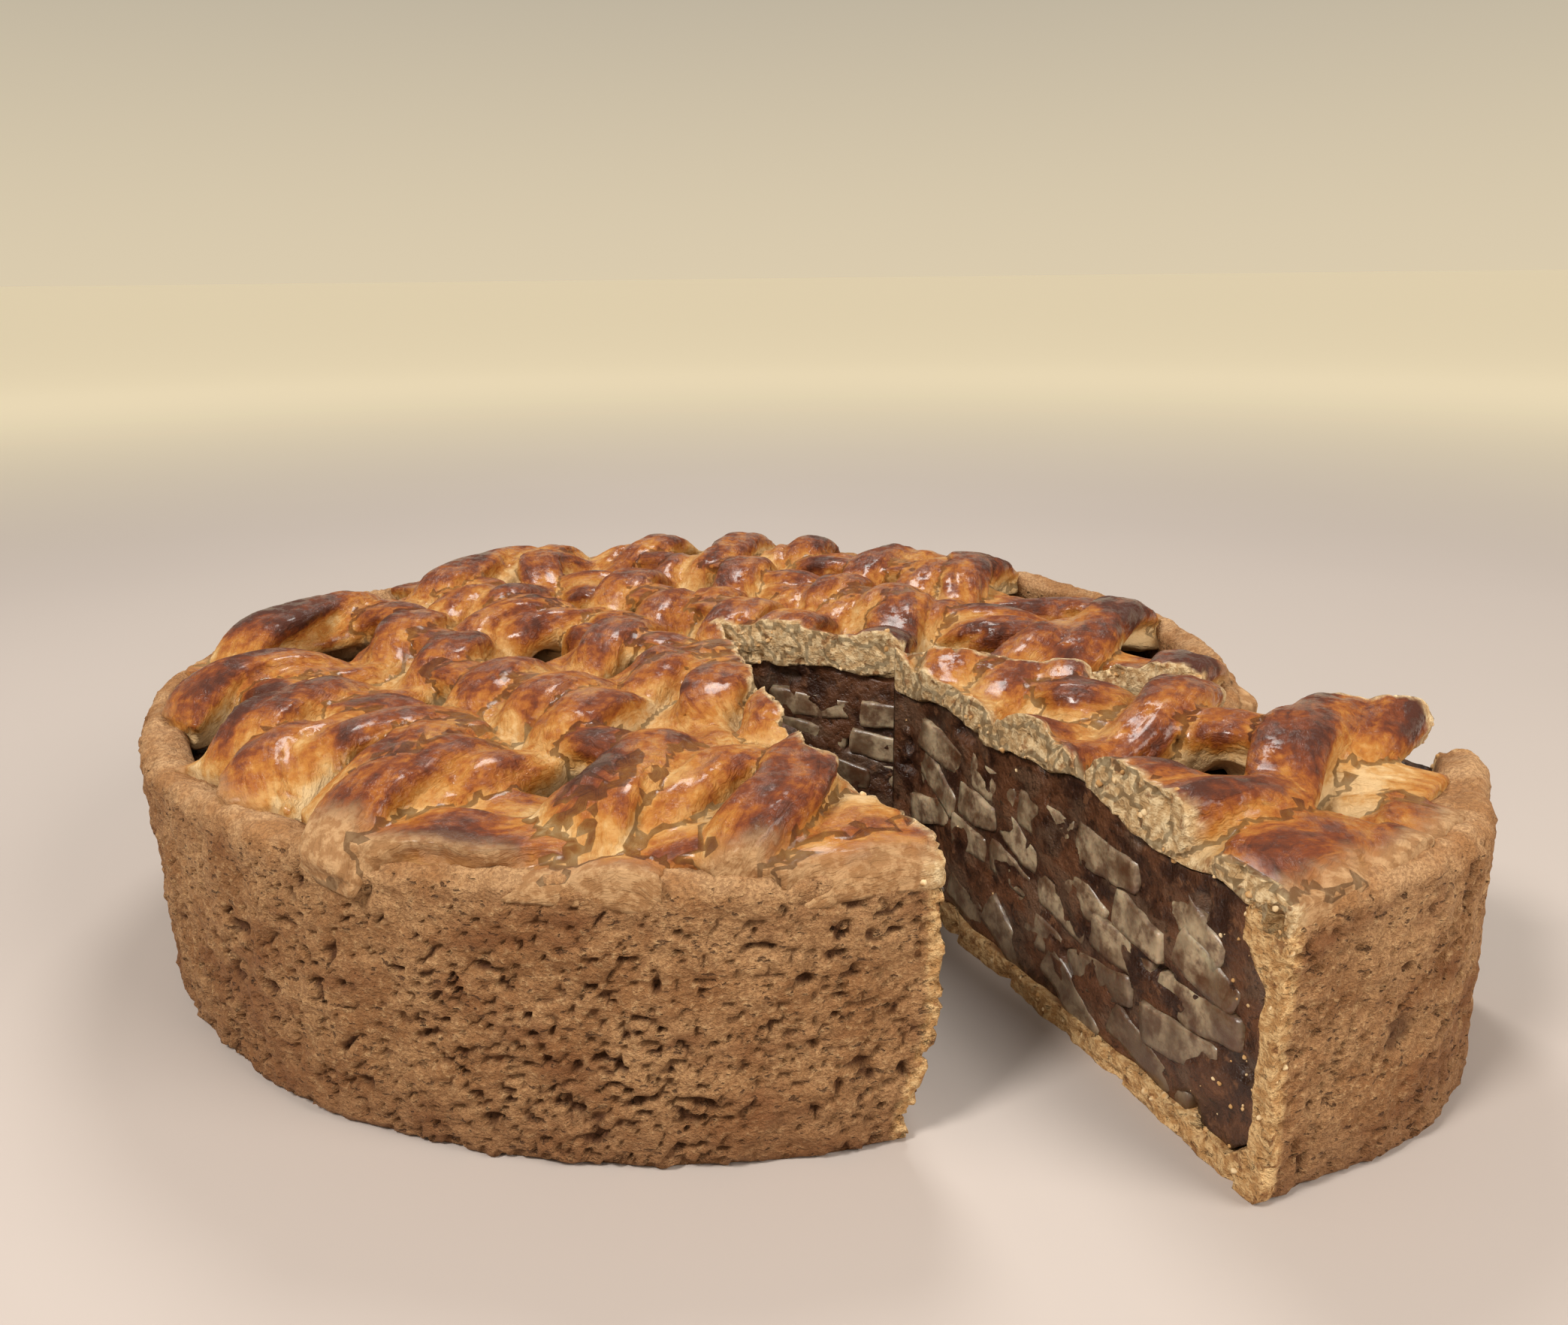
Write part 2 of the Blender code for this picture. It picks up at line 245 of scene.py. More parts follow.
floor_paint, recipe, shader, place = new_material("pale_table")
tint = recipe.blend(recipe.grain(place, 0.3), (0.44, 0.385, 0.350), (0.48, 0.420, 0.385))
away = recipe.vector("LENGTH", {0: place}).also("Value")
# Further off the floor turns paler and yellower, and there it glows: painted light, a warm glow where
# there is no lamp.
tint = recipe.blend(recipe.step(away, 0.4, 1.4), tint, (0.80, 0.72, 0.53))
painted_glow = recipe.blend(recipe.step(away, 0.4, 1.6), (0.0, 0.0, 0.0), (0.46, 0.38, 0.25))
recipe.feed(shader, {
    "Base Color": tint, "Emission Color": painted_glow, "Emission Strength": 1.0, "Roughness": 0.6,
})
floor_mesh.materials.append(floor_paint)


# The case: shortcrust pressed by hand into a springform, so its wall is wavy and a finger thick
# under the rounded rim, with the pores and cracks of a sandy dough. It carries all the rest.
TIN_RADIUS = 0.120
WALL_HEIGHT = 0.0493
WALL_THICKNESS = 0.0095
WALL_THINNING = 0.0048
THIN_BELOW = 0.0340
THICK_FROM = 0.0420
BASE_THICKNESS = 0.0042
BASE_CORNER = 0.004
RIM_ROUND = 0.0035
RIM_INNER_ROUND = 0.0015
RIM_INNER_DROP = 0.0010
FOOT_ROUND = 0.0022
WALL_WAVE = 0.0012
WALL_ROUGHNESS = 0.0007
INSIDE_WAVE = 0.0008
RIM_WAVE = 0.0022
RIM_ROUGHNESS = 0.0008
SLICE_BULGE = 0.0048
SLICE_BULGE_AT = math.radians(309.0)
SLICE_BULGE_SPREAD = math.radians(12.0)
CASE_COLUMNS = 1080
CASE_STEP = 0.0008


def rough(x, y, z, size, seed):
    """Smooth noise from about -1 to 1 whose bumps measure about the given size."""
    return noise.noise(Vector((x, y, z)) / size + Vector((seed * 7.3, seed * 3.1, seed * 5.7)))


def eased(value):
    value = min(1.0, max(0.0, value))
    return value * value * (3.0 - 2.0 * value)


def mixed(low, high, share):
    return low + (high - low) * share


def on_circle(azimuth, radius):
    return math.cos(azimuth) * radius, math.sin(azimuth) * radius


def wall_radius(azimuth, z):
    x, y = on_circle(azimuth, TIN_RADIUS)
    wave = WALL_WAVE * rough(x, y, z, 0.060, 1)
    grain = WALL_ROUGHNESS * rough(x, y, z, 0.009, 2)
    aside = (azimuth % (2.0 * math.pi) - SLICE_BULGE_AT) / SLICE_BULGE_SPREAD
    bulge = SLICE_BULGE * math.exp(-aside * aside)
    return TIN_RADIUS - WALL_WAVE + wave + grain + bulge


def rim_height(azimuth):
    x, y = on_circle(azimuth, TIN_RADIUS)
    wave = RIM_WAVE * rough(x, y, 0.0, 0.045, 3)
    return WALL_HEIGHT + wave + RIM_ROUGHNESS * rough(x, y, 0.0, 0.014, 4)


def inner_radius(azimuth, z):
    """The wall is thick under its rim and thinner lower down, where the filling pressed it flat."""
    x, y = on_circle(azimuth, TIN_RADIUS)
    thinner = WALL_THINNING * eased((THICK_FROM - z) / (THICK_FROM - THIN_BELOW))
    return TIN_RADIUS - WALL_THICKNESS + thinner + INSIDE_WAVE * rough(x, y, 0.0, 0.030, 5)


def inside_levels(steps):
    return [THICK_FROM + (THIN_BELOW - THICK_FROM) * step / steps for step in range(steps + 1)]


def arc(centre_r, centre_z, radius_r, radius_z, start, end, steps):
    """Points of a quarter turn or so of an oval, in degrees, for the rounded edges."""
    points = []
    for step in range(steps + 1):
        angle = math.radians(start + (end - start) * step / steps)
        points.append((centre_r + radius_r * math.cos(angle), centre_z + radius_z * math.sin(angle)))
    return points


def case_profile(azimuth):
    """The section of the case at one azimuth, as (radius, height), from its foot over its rim."""
    rim = rim_height(azimuth)
    inner = inner_radius(azimuth, rim)
    low_inner = inner_radius(azimuth, 0.0)
    foot = wall_radius(azimuth, 0.0)
    edge = wall_radius(azimuth, rim)
    side_low = FOOT_ROUND
    side_high = rim - RIM_ROUND
    steps = round((WALL_HEIGHT - RIM_ROUND - FOOT_ROUND) / CASE_STEP)
    points = arc(foot - FOOT_ROUND, FOOT_ROUND, FOOT_ROUND, FOOT_ROUND, -90.0, -20.0, 3)
    for step in range(steps + 1):
        z = side_low + (side_high - side_low) * step / steps
        points.append((wall_radius(azimuth, z), z))
    points += arc(edge - RIM_ROUND, side_high, RIM_ROUND, RIM_ROUND, 15.0, 90.0, 6)
    top_start = edge - RIM_ROUND
    for step in range(1, 5):
        share = step / 5.0
        reach = top_start + (inner + RIM_INNER_ROUND - top_start) * share
        points.append((reach, rim - RIM_INNER_DROP * share))
    depth = RIM_ROUND - RIM_INNER_DROP
    inner_edge = arc(inner + RIM_INNER_ROUND, side_high, RIM_INNER_ROUND, depth, 90.0, 180.0, 3)
    points += inner_edge[1:]
    points += [(inner_radius(azimuth, z), z) for z in inside_levels(8)]
    points += [(low_inner, BASE_THICKNESS + BASE_CORNER), (low_inner - BASE_CORNER, BASE_THICKNESS)]
    return points


def turned_solid(name, profile, columns):
    """A closed solid whose profile changes with the azimuth, with a flat face at each end."""
    verts = []
    for column in range(columns):
        azimuth = 2.0 * math.pi * column / columns
        points = profile(azimuth)
        verts += [(*on_circle(azimuth, r), z) for r, z in points]
    rings = len(verts) // columns
    faces = []
    for column in range(columns):
        here = column * rings
        after = (column + 1) % columns * rings
        faces += [(here + i, after + i, after + i + 1, here + i + 1) for i in range(rings - 1)]
    faces.append([column * rings for column in reversed(range(columns))])
    faces.append([column * rings + rings - 1 for column in range(columns)])
    mesh = bpy.data.meshes.new(name)
    mesh.from_pydata(verts, [], faces)
    obj = bpy.data.objects.new(name, mesh)
    bpy.context.scene.collection.objects.link(obj)
    return obj


def places_of(mesh):
    places = np.empty(len(mesh.vertices) * 3)
    mesh.vertices.foreach_get("co", places)
    return places.reshape(-1, 3)


def put_places(mesh, places):
    mesh.vertices.foreach_set("co", places.ravel())
    mesh.update()


def normals_of(mesh):
    return np.array([tuple(v.vector) for v in mesh.vertex_normals])


def note(mesh, name, values):
    """Keeps a number for each point of the mesh, which its material reads."""
    kept = mesh.attributes.new(name, "FLOAT", "POINT")
    kept.data.foreach_set("value", np.asarray(values, dtype=np.float32))


# Lumps of the dough, from coarse to fine: height, size, flatness, seed
DOUGH_LUMPS = ((0.00065, 0.0078, 1.0, 51), (0.00048, 0.0030, 1.4, 52), (0.00038, 0.0016, 1.3, 56))
PIT_SIZE = 0.0018
PIT_FLATNESS = 0.55
PIT_DEPTH = 0.0009
CRACK_SIZE = 0.0034
CRACK_FLATNESS = 0.40
CRACK_DEPTH = 0.0013
GOUGE_SHRINK = 1.35
# Where the wall has split or lost a crumb: azimuth in degrees, height, half width, half height, depth
GOUGES = (
    (252.0, 0.0335, 0.0030, 0.0014, 0.0016),
    (228.0, 0.0300, 0.0042, 0.0016, 0.0016),
    (224.0, 0.0250, 0.0034, 0.0012, 0.0013),
    (231.5, 0.0210, 0.0028, 0.0012, 0.0013),
    (276.0, 0.0320, 0.0026, 0.0018, 0.0020),
    (280.0, 0.0165, 0.0034, 0.0013, 0.0018),
    (282.5, 0.0120, 0.0022, 0.0010, 0.0014),
    (263.0, 0.0120, 0.0030, 0.0010, 0.0010),
    (214.0, 0.0040, 0.0050, 0.0032, 0.0022),
    (301.0, 0.0220, 0.0050, 0.0048, 0.0010),
    (241.0, 0.0090, 0.0030, 0.0012, 0.0012),
    (205.0, 0.0160, 0.0032, 0.0013, 0.0013),
)
gouge_places = [
    (Vector((*on_circle(math.radians(at), TIN_RADIUS), z)), wide, high, deep)
    for at, z, wide, high, deep in GOUGES
]


def dough_relief(x, y, z):
    """How far the lumps of the shortcrust stand out at a spot, and how deep its pits go."""
    lumps = sum(rise * rough(x, y, z * flat, size, seed) for rise, size, flat, seed in DOUGH_LUMPS)
    zone = rough(x, y, z, 0.024, 54)
    drift = rough(x, y, z, 0.0060, 57)
    fine = rough(x, y, (z + 0.0012 * drift) / PIT_FLATNESS, PIT_SIZE, 53)
    wide = rough(x, y, (z + 0.0030 * drift) / CRACK_FLATNESS, CRACK_SIZE, 58)
    pit = PIT_DEPTH * eased((fine + 0.22 * zone - 0.27) / 0.18)
    crack = CRACK_DEPTH * eased((wide + 0.26 * zone - 0.44) / 0.12)
    missing = 0.0
    for place, wide, high, deep in gouge_places:
        across = math.hypot(x - place.x, y - place.y)
        if across < wide * 2.0 and abs(z - place.z) < high * 2.0:
            ragged = 0.30 * rough(x, y, z, 0.0022, 55)
            off = math.hypot(across / wide, (z - place.z) / high) * GOUGE_SHRINK + ragged
            missing = max(missing, deep * eased((1.25 - off) / 0.6))
    return lumps, pit + crack + missing


OUTSIDE_FROM = 0.1115
FOOT_EDGE = 0.0006
RIM_FROM = 0.0465
RIM_FADE = 0.0015
RIM_SMOOTHER = 0.75
case = turned_solid("case", case_profile, CASE_COLUMNS)
outer = places_of(case.data)
reliefs = np.array([
    dough_relief(x, y, z) if math.hypot(x, y) > OUTSIDE_FROM and z > FOOT_EDGE else (0.0, 0.0)
    for x, y, z in outer
])
on_top = np.clip((outer[:, 2] - RIM_FROM) / RIM_FADE, 0.0, 1.0)
reliefs[:, 1] *= 1.0 - RIM_SMOOTHER * on_top
outer += normals_of(case.data) * (reliefs[:, :1] - reliefs[:, 1:])
outer[:, 2] = np.maximum(outer[:, 2], 0.0)
put_places(case.data, outer)
note(case.data, "pit", reliefs[:, 1] * 1000.0)


# The cuts: a knife went from the middle of the pie to its rim twice. The gap is where the slice
# stood; the slice is drawn towards the front right and turned a little. The cuts are crumbly.
GAP_APEX = Vector((0.0040, 0.0015, 0.0))
GAP_FROM = math.radians(284.6)
GAP_TO = math.radians(330.5)
SLICE_APEX = Vector((0.0050, 0.0002, 0.0))
SLICE_FROM = math.radians(285.9)
SLICE_TO = math.radians(328.6)
SLICE_PLACE = Vector((0.0410, -0.0235, 0.0))
SLICE_TURN = math.radians(2.4)
GAP_LEAN = 0.0055
LEAN_HEIGHT = 0.026
LEAN_START = 0.075
LEAN_LENGTH = 0.040
CUT_ROUGHNESS = 0.0009
CUT_STEP = 0.0009
CUT_REACH = 0.150
CUT_LOW = -0.008
CUT_HIGH = 0.076
BESIDE_CUT = 0.0030
BESIDE_FADE = 0.0012
ON_CUT = 0.0009
ON_CUT_FADE = 0.0005
TOP_FACES_UP = 0.80
TOP_FADE = 0.25
slice_turn = Matrix.Rotation(SLICE_TURN, 4, "Z")
slice_move = Matrix.Translation(SLICE_PLACE) @ slice_turn @ Matrix.Translation(-SLICE_APEX)


def crumb_relief(distance, level, seed):
    grains = 0.00045 * rough(distance, level, 0.0, 0.0017, seed + 61)
    pit = 0.0013 * eased((rough(distance, level, 0.0, 0.0030, seed + 65) - 0.30) / 0.20)
    return 0.00040 * rough(distance, level, 0.0, 0.0040, seed + 60) + grains + pit


def mass_relief(distance, level, seed):
    """The soft filling tears in lumps, and lies a little deeper than the crust."""
    lumps = 0.0005 * rough(distance, level, 0.0, 0.0085, seed + 62)
    torn = 0.0004 * rough(distance, level, 0.0, 0.0032, seed + 63)
    pit = 0.0026 * eased((rough(distance, level * 1.6, 0.0, 0.0080, seed + 64) - 0.34) / 0.18)
    return 0.0014 + lumps + torn + pit


def leaning(distance, level):
    """The wall left of the gap has sagged outwards at its foot, so the cut stands back there."""
    outwards = eased((distance - LEAN_START) / LEAN_LENGTH)
    return GAP_LEAN * (1.0 - eased(level / LEAN_HEIGHT)) * outwards


def straight(distance, level):
    return 0.0


def cut_face(apex, azimuth, seed, level, recess, relief, into):
    """One level of a knife cut, from the apex outwards. A positive relief goes into the food."""
    along = Vector((math.cos(azimuth), math.sin(azimuth), 0.0))
    across = Vector((-along.y, along.x, 0.0))
    points = []
    for step in range(1, round(CUT_REACH / CUT_STEP) + 1):
        distance = step * CUT_STEP
        depth = CUT_ROUGHNESS * rough(distance, level, 0.0, 0.010, seed)
        depth += relief(distance, level, seed) * into * eased(distance / 0.006)
        depth -= recess(distance, level)
        point = apex + along * distance + across * depth
        points.append((point.x, point.y, level))
    return points


def wedge(name, apex, start, end, seed, recess, relief, into):
    """The space between two knife cuts. into is 1 where the food is outside it and -1 where inside."""
    count_levels = round((CUT_HIGH - CUT_LOW) / CUT_STEP)
    levels = [CUT_LOW + (CUT_HIGH - CUT_LOW) * i / count_levels for i in range(count_levels + 1)]
    verts = []
    for level in levels:
        first = cut_face(apex, start, seed, level, recess, relief, -into)
        second = cut_face(apex, end, seed + 1, level, straight, relief, into)
        verts += [(apex.x, apex.y, level), *first, *reversed(second)]
    count = len(verts) // len(levels)
    faces = []
    for row in range(len(levels) - 1):
        low, high = row * count, (row + 1) * count
        for i in range(count):
            j = (i + 1) % count
            faces.append((low + i, low + j, high + j, high + i))
    faces.append(list(reversed(range(count))))
    faces.append([len(verts) - count + i for i in range(count)])
    mesh = bpy.data.meshes.new(name)
    mesh.from_pydata(verts, [], faces)
    obj = bpy.data.objects.new(name, mesh)
    bpy.context.scene.collection.objects.link(obj)
    return obj


def apply_modifiers(obj):
    """Makes the shape that the modifiers show the object's plain mesh."""
    bpy.context.view_layer.update()
    graph = bpy.context.evaluated_depsgraph_get()
    result = bpy.data.meshes.new_from_object(obj.evaluated_get(graph))
    obj.modifiers.clear()
    old = obj.data
    obj.data = result
    bpy.data.meshes.remove(old)


def cut(target, tool, operation):
    modifier = target.modifiers.new("cut", "BOOLEAN")
    modifier.operation = operation
    modifier.solver = "MANIFOLD"
    modifier.object = tool
    apply_modifiers(target)


def copied(source, name):
    obj = bpy.data.objects.new(name, source.data.copy())
    bpy.context.scene.collection.objects.link(obj)
    return obj


def without_scraps(obj):
    """Drops the loose bits that a cut leaves beside the main body."""
    made = bmesh.new()
    made.from_mesh(obj.data)
    bmesh.ops.remove_doubles(made, verts=made.verts, dist=0.00001)
    left = set(made.verts)
    bodies = []
    while left:
        queue = [left.pop()]
        body = set(queue)
        while queue:
            for edge in queue.pop().link_edges:
                for other in edge.verts:
                    if other in left:
                        left.remove(other)
                        body.add(other)
                        queue.append(other)
        bodies.append(body)
    bodies.sort(key=len, reverse=True)
    for body in bodies[1:]:
        bmesh.ops.delete(made, geom=list(body), context="VERTS")
    made.to_mesh(obj.data)
    made.free()


def off_line(places, apex, azimuth):
    """How far each point lies from the plane of a knife cut."""
    along = np.array([math.cos(azimuth), math.sin(azimuth)])
    away = places[:, :2] - np.array([apex.x, apex.y])
    off = np.abs(away[:, 0] * -along[1] + away[:, 1] * along[0])
    ahead_of = away @ along
    return np.where(ahead_of > -0.002, off, 1.0)


def note_cut(mesh, apex, start, end, recess):
    """Marks the crumb that the knife laid bare, and leaves the crust on top beside the cuts."""
    places = places_of(mesh)
    along = np.array([math.cos(start), math.sin(start)])
    distance = (places[:, :2] - np.array([apex.x, apex.y])) @ along
    back = np.array([recess(d, z) for d, z in zip(distance, places[:, 2])])
    first = np.maximum(off_line(places, apex, start) - back, 0.0)
    off = np.minimum(first, off_line(places, apex, end))
    steep = np.clip((TOP_FACES_UP - normals_of(mesh)[:, 2]) / TOP_FADE, 0.0, 1.0)
    beside = np.clip((BESIDE_CUT - off) / BESIDE_FADE, 0.0, 1.0) * steep
    note(mesh, "cut", np.maximum(beside, np.clip((ON_CUT - off) / ON_CUT_FADE, 0.0, 1.0)))


crumb_gap = wedge("crumb_gap", GAP_APEX, GAP_FROM, GAP_TO, 11, leaning, crumb_relief, 1.0)
crumb_knife = wedge("crumb_knife", SLICE_APEX, SLICE_FROM, SLICE_TO, 13, straight, crumb_relief, -1.0)
mass_gap = wedge("mass_gap", GAP_APEX, GAP_FROM, GAP_TO, 11, leaning, mass_relief, 1.0)
mass_knife = wedge("mass_knife", SLICE_APEX, SLICE_FROM, SLICE_TO, 13, straight, mass_relief, -1.0)


def shares(whole, slice_name, gap, knife, recess):
    """Cuts the slice's share off the whole, notes the bare crumb on both, and moves the slice."""
    piece = copied(whole, slice_name)
    cut(piece, knife, "INTERSECT")
    cut(whole, gap, "DIFFERENCE")
    for obj in (piece, whole):
        without_scraps(obj)
    note_cut(piece.data, SLICE_APEX, SLICE_FROM, SLICE_TO, straight)
    note_cut(whole.data, GAP_APEX, GAP_FROM, GAP_TO, recess)
    piece.data.transform(slice_move)
    return piece


def finished(obj, material, node):
    """Gives a piece its material and its body, and hides the solid whose place it takes, if any."""
    obj.data.materials.clear()
    obj.data.materials.append(material)
    obj.data.shade_smooth()
    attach(obj, "root")
    if node:
        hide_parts(node)


def bare_crumb(recipe, place, dark, pale, hole, holes_from):
    """The crumb that a knife lays bare: its grain and its colour, with brown painted shade in its holes.
    """
    grain = recipe.grain(place, 0.0016, 3.0, 0.65)
    crumb = recipe.blend(recipe.step(grain, 0.40, 0.64), dark, pale)
    holes = recipe.step(recipe.grain(place, 0.0028, 3.0), holes_from, 0.66)
    # Where the holes lie the crumb is painted brown: painted shade in the holes.
    return grain, recipe.blend(holes * 0.8, crumb, hole)


slice_case = shares(case, "slice_case", crumb_gap, crumb_knife, leaning)

shortcrust, recipe, shader, place = new_material("shortcrust")
height = recipe.height_of(place)
flat_place = recipe.stretched(place, 1.0, 1.0, 2.2)
mottle = recipe.grain(place, 0.012, 5.0, 0.65)
sand = recipe.grain(recipe.stretched(place, 1.0, 1.0, 1.4), 0.0013, 3.0, 0.7)
pores = recipe.grain(flat_place, 0.0021, 3.0, 0.6)
tan = recipe.blend(recipe.step(mottle, 0.38, 0.62), (0.250, 0.116, 0.044), (0.375, 0.205, 0.090))
tan = recipe.blend(recipe.step(sand, 0.48, 0.74) * 0.9, tan, (0.50, 0.310, 0.150))
browned = recipe.step(recipe.grain(flat_place, 0.026, 4.0, 0.6), 0.50, 0.66)
tan = recipe.blend(browned * 0.75, tan, (0.160, 0.056, 0.018))
# Darker towards the foot: painted shade low on the wall.
tan = recipe.blend(recipe.step(height, 0.016, 0.001) * 0.5, tan, (0.150, 0.058, 0.022))
top_warm = recipe.step(height, 0.0430, 0.0500)
golden = recipe.blend(recipe.step(mottle, 0.42, 0.60), (0.360, 0.175, 0.066), (0.520, 0.310, 0.150))
tan = recipe.blend(top_warm * 0.8, tan, golden)
# The pores on the side of the wall and the pits, cracks and gouges of its relief are painted near black:
# painted shade in the hollows.
pores_painted_dark = recipe.step(pores, 0.62, 0.70) * recipe.step(height, 0.0485, 0.0465)
hollow_shade = pores_painted_dark.sums("MAXIMUM", pores_painted_dark * 0.8, recipe.step(recipe.noted("pit"), 0.20, 1.3))
tan = recipe.blend(hollow_shade * 0.94, tan, (0.056, 0.018, 0.006))
dust = recipe.grain(place, 0.0006, 2.0, 0.7)
tan = recipe.blend(recipe.step(dust, 0.60, 0.40) * 0.50, tan, (0.150, 0.064, 0.024))
bare = recipe.noted("cut")
# The last colour is the brown of painted shade in the crumb's holes.
crumb_grain, crumb = bare_crumb(
    recipe, place, (0.42, 0.225, 0.085), (0.64, 0.42, 0.20), (0.220, 0.092, 0.030), 0.57,
)
relief = sand * 0.90 + recipe.grain(place, 0.0006, 2.0) * 0.3
relief = relief - pores_painted_dark * 0.9 + crumb_grain * bare * 0.8
recipe.feed(shader, {
    "Base Color": recipe.blend(bare, tan, crumb),
    "Roughness": recipe.step(mottle, 0.3, 0.7, 0.92, 0.74),
    "Normal": recipe.bumps(relief, 0.0009, 1.0),
    "Specular IOR Level": 0.25,
})
finished(case, shortcrust, "pie_crust")
finished(slice_case, shortcrust, "slice_crust")


# The filling: slices of apple baked soft in a dark mass of sugar and cinnamon. It stands up to the
# underside of the strips, lumpy on top, and shows in the holes of the lattice and at the cuts.
MASS_COLUMNS = 420
MASS_STEPS = 80
FILLING_LEVEL = 0.0415
CUT_RISE = 0.0060
MASS_ROOM = 0.0003
MASS_LOW = BASE_THICKNESS + MASS_ROOM
MASS_EDGE = 0.0385
RISE_REACH = 0.009


def filling_top(x, y):
    """Height of the filling's lumpy top, which stands higher along the cuts."""
    lump = 0.0015 * rough(x, y, 0.0, 0.0120, 71) + 0.0008 * rough(x, y, 0.0, 0.0042, 72)
    away = Vector((x, y, 0.0)) - GAP_APEX
    beside = 1.0
    uneven = 0.0028 * rough(x, y, 0.0, 0.0150, 73)
    for azimuth in (GAP_FROM, GAP_TO):
        along = Vector((math.cos(azimuth), math.sin(azimuth), 0.0))
        if away.dot(along) > -0.004:
            beside = min(beside, abs(away.x * along.y - away.y * along.x))
    return FILLING_LEVEL + lump + (CUT_RISE + uneven) * math.exp(-(beside / RISE_REACH) ** 2)


def mass_profile(azimuth):
    """The section of the filling from its bottom up the wall and over its top to the middle."""
    inner = inner_radius(azimuth, MASS_LOW) - MASS_ROOM
    points = [(inner - BASE_CORNER, MASS_LOW), (inner, MASS_LOW + BASE_CORNER)]
    levels = [z for z in reversed(inside_levels(8)) if z < MASS_EDGE]
    points += [(inner_radius(azimuth, z) - MASS_ROOM, z) for z in levels]
    inner = inner_radius(azimuth, THICK_FROM) - MASS_ROOM
    for step in range(MASS_STEPS + 1):
        reach = mixed(inner, 0.003, step / MASS_STEPS)
        points.append((reach, filling_top(*on_circle(azimuth, reach))))
    return points


mass = turned_solid("apple_mass", mass_profile, MASS_COLUMNS)
slice_mass = shares(mass, "slice_apple_mass", mass_gap, mass_knife, leaning)

cinnamon, recipe, shader, place = new_material("cinnamon_mass")
cloud = recipe.grain(place, 0.009, 4.0)
flecks_and_hollow_shade = recipe.grain(place, 0.0024, 4.0, 0.65)
brown = recipe.blend(recipe.step(cloud, 0.38, 0.62), (0.028, 0.009, 0.004), (0.110, 0.042, 0.018))
soft = recipe.step(recipe.grain(recipe.stretched(place, 1.0, 1.0, 1.5), 0.011, 3.0), 0.50, 0.60)
brown = recipe.blend(soft * 0.55, brown, (0.130, 0.076, 0.046))
brown = recipe.blend(recipe.step(flecks_and_hollow_shade, 0.54, 0.70) * 0.7, brown, (0.170, 0.072, 0.030))
# Near black where the flecks sink lowest in the bump: painted shade in the hollows of the mass.
brown = recipe.blend(recipe.step(flecks_and_hollow_shade, 0.44, 0.34) * 0.8, brown, (0.018, 0.006, 0.003))
recipe.feed(shader, {
    "Base Color": brown,
    "Roughness": recipe.step(flecks_and_hollow_shade, 0.35, 0.70, 0.30, 0.62),
    "Normal": recipe.bumps(flecks_and_hollow_shade + cloud * 0.6, 0.0014, 0.9),
    "Specular IOR Level": 0.35,
    "Coat Weight": 0.20,
    "Coat Roughness": 0.22,
})
finished(mass, cinnamon, "pie_filling")
finished(slice_mass, cinnamon, "slice_filling")


# The slabs of apple that the knife went through: cut from quarters of peeled apple, baked soft and
# grey, and packed like bricks in the cinnamon mass. In the slice they have slid and lean over.
SLAB_SINK = 0.0009
SLAB_DEPTH = 0.0050
SLAB_PITCH = 0.0073
SLAB_TOP = 0.0425
SLAB_START = 0.109
SLAB_END = 0.1130
MUSHY_BELOW = 0.0200
# Each cut: apex, azimuth, which side the food lies on, lean of the slabs in degrees and its spread,
# share of slabs left out above and low down where the apple has gone to mush, seed, in the slice
SLAB_CUTS = (
    (GAP_APEX, GAP_FROM, -1.0, 4.0, 7.0, 0.08, 0.20, 1, False),
    (GAP_APEX, GAP_TO, 1.0, -2.0, 5.0, 0.04, 0.08, 2, False),
    (SLICE_APEX, SLICE_FROM, 1.0, -6.0, 24.0, 0.05, 0.15, 3, True),
    (SLICE_APEX, SLICE_TO, -1.0, 8.0, 14.0, 0.08, 0.30, 4, True),
)


def slab_spots(apex, azimuth, food_side, lean, lean_spread, left_out, left_out_low, seed):
    """Where the slabs of one cut lie: place, turn and size of each, row above row."""
    chance = np.random.default_rng(seed)
    along = Vector((math.cos(azimuth), math.sin(azimuth), 0.0))
    across = Vector((-along.y, along.x, 0.0))
    spots = []
    z = BASE_THICKNESS + 0.0040
    while z < SLAB_TOP:
        distance = 0.006 + chance.uniform(0.0, 0.008)
        missing = left_out_low if z < MUSHY_BELOW else left_out
        while distance < SLAB_START:
            length = chance.uniform(0.0125, 0.0220)
            thick = chance.uniform(0.0054, 0.0072)
            centre = distance + length / 2.0
            if centre + length / 2.0 < SLAB_END and chance.random() > missing:
                tilt = math.radians(lean + chance.uniform(-lean_spread, lean_spread))
                yaw = math.radians(chance.uniform(-5.0, 5.0))
                sunk = SLAB_SINK + SLAB_DEPTH / 2.0 + chance.uniform(-0.0003, 0.0005)
                place = apex + along * centre + across * (food_side * sunk)
                up = z + chance.uniform(-0.0008, 0.0008)
                turn = (0.0, -tilt, azimuth + yaw)
                spots.append(((place.x, place.y, up), turn, (length, SLAB_DEPTH, thick)))
            distance += length + chance.uniform(0.0006, 0.0022)
        z += SLAB_PITCH
    return spots


def spots_object(name, spots):
    """A cloud of points that carries each slab's turn and size."""
    mesh = bpy.data.meshes.new(name)
    mesh.from_pydata([spot[0] for spot in spots], [], [])
    for title, column in (("turn", 1), ("size", 2)):
        kept = mesh.attributes.new(title, "FLOAT_VECTOR", "POINT")
        values = np.array([spot[column] for spot in spots], dtype=np.float32)
        kept.data.foreach_set("vector", values.ravel())
    obj = bpy.data.objects.new(name, mesh)
    bpy.context.scene.collection.objects.link(obj)
    return obj


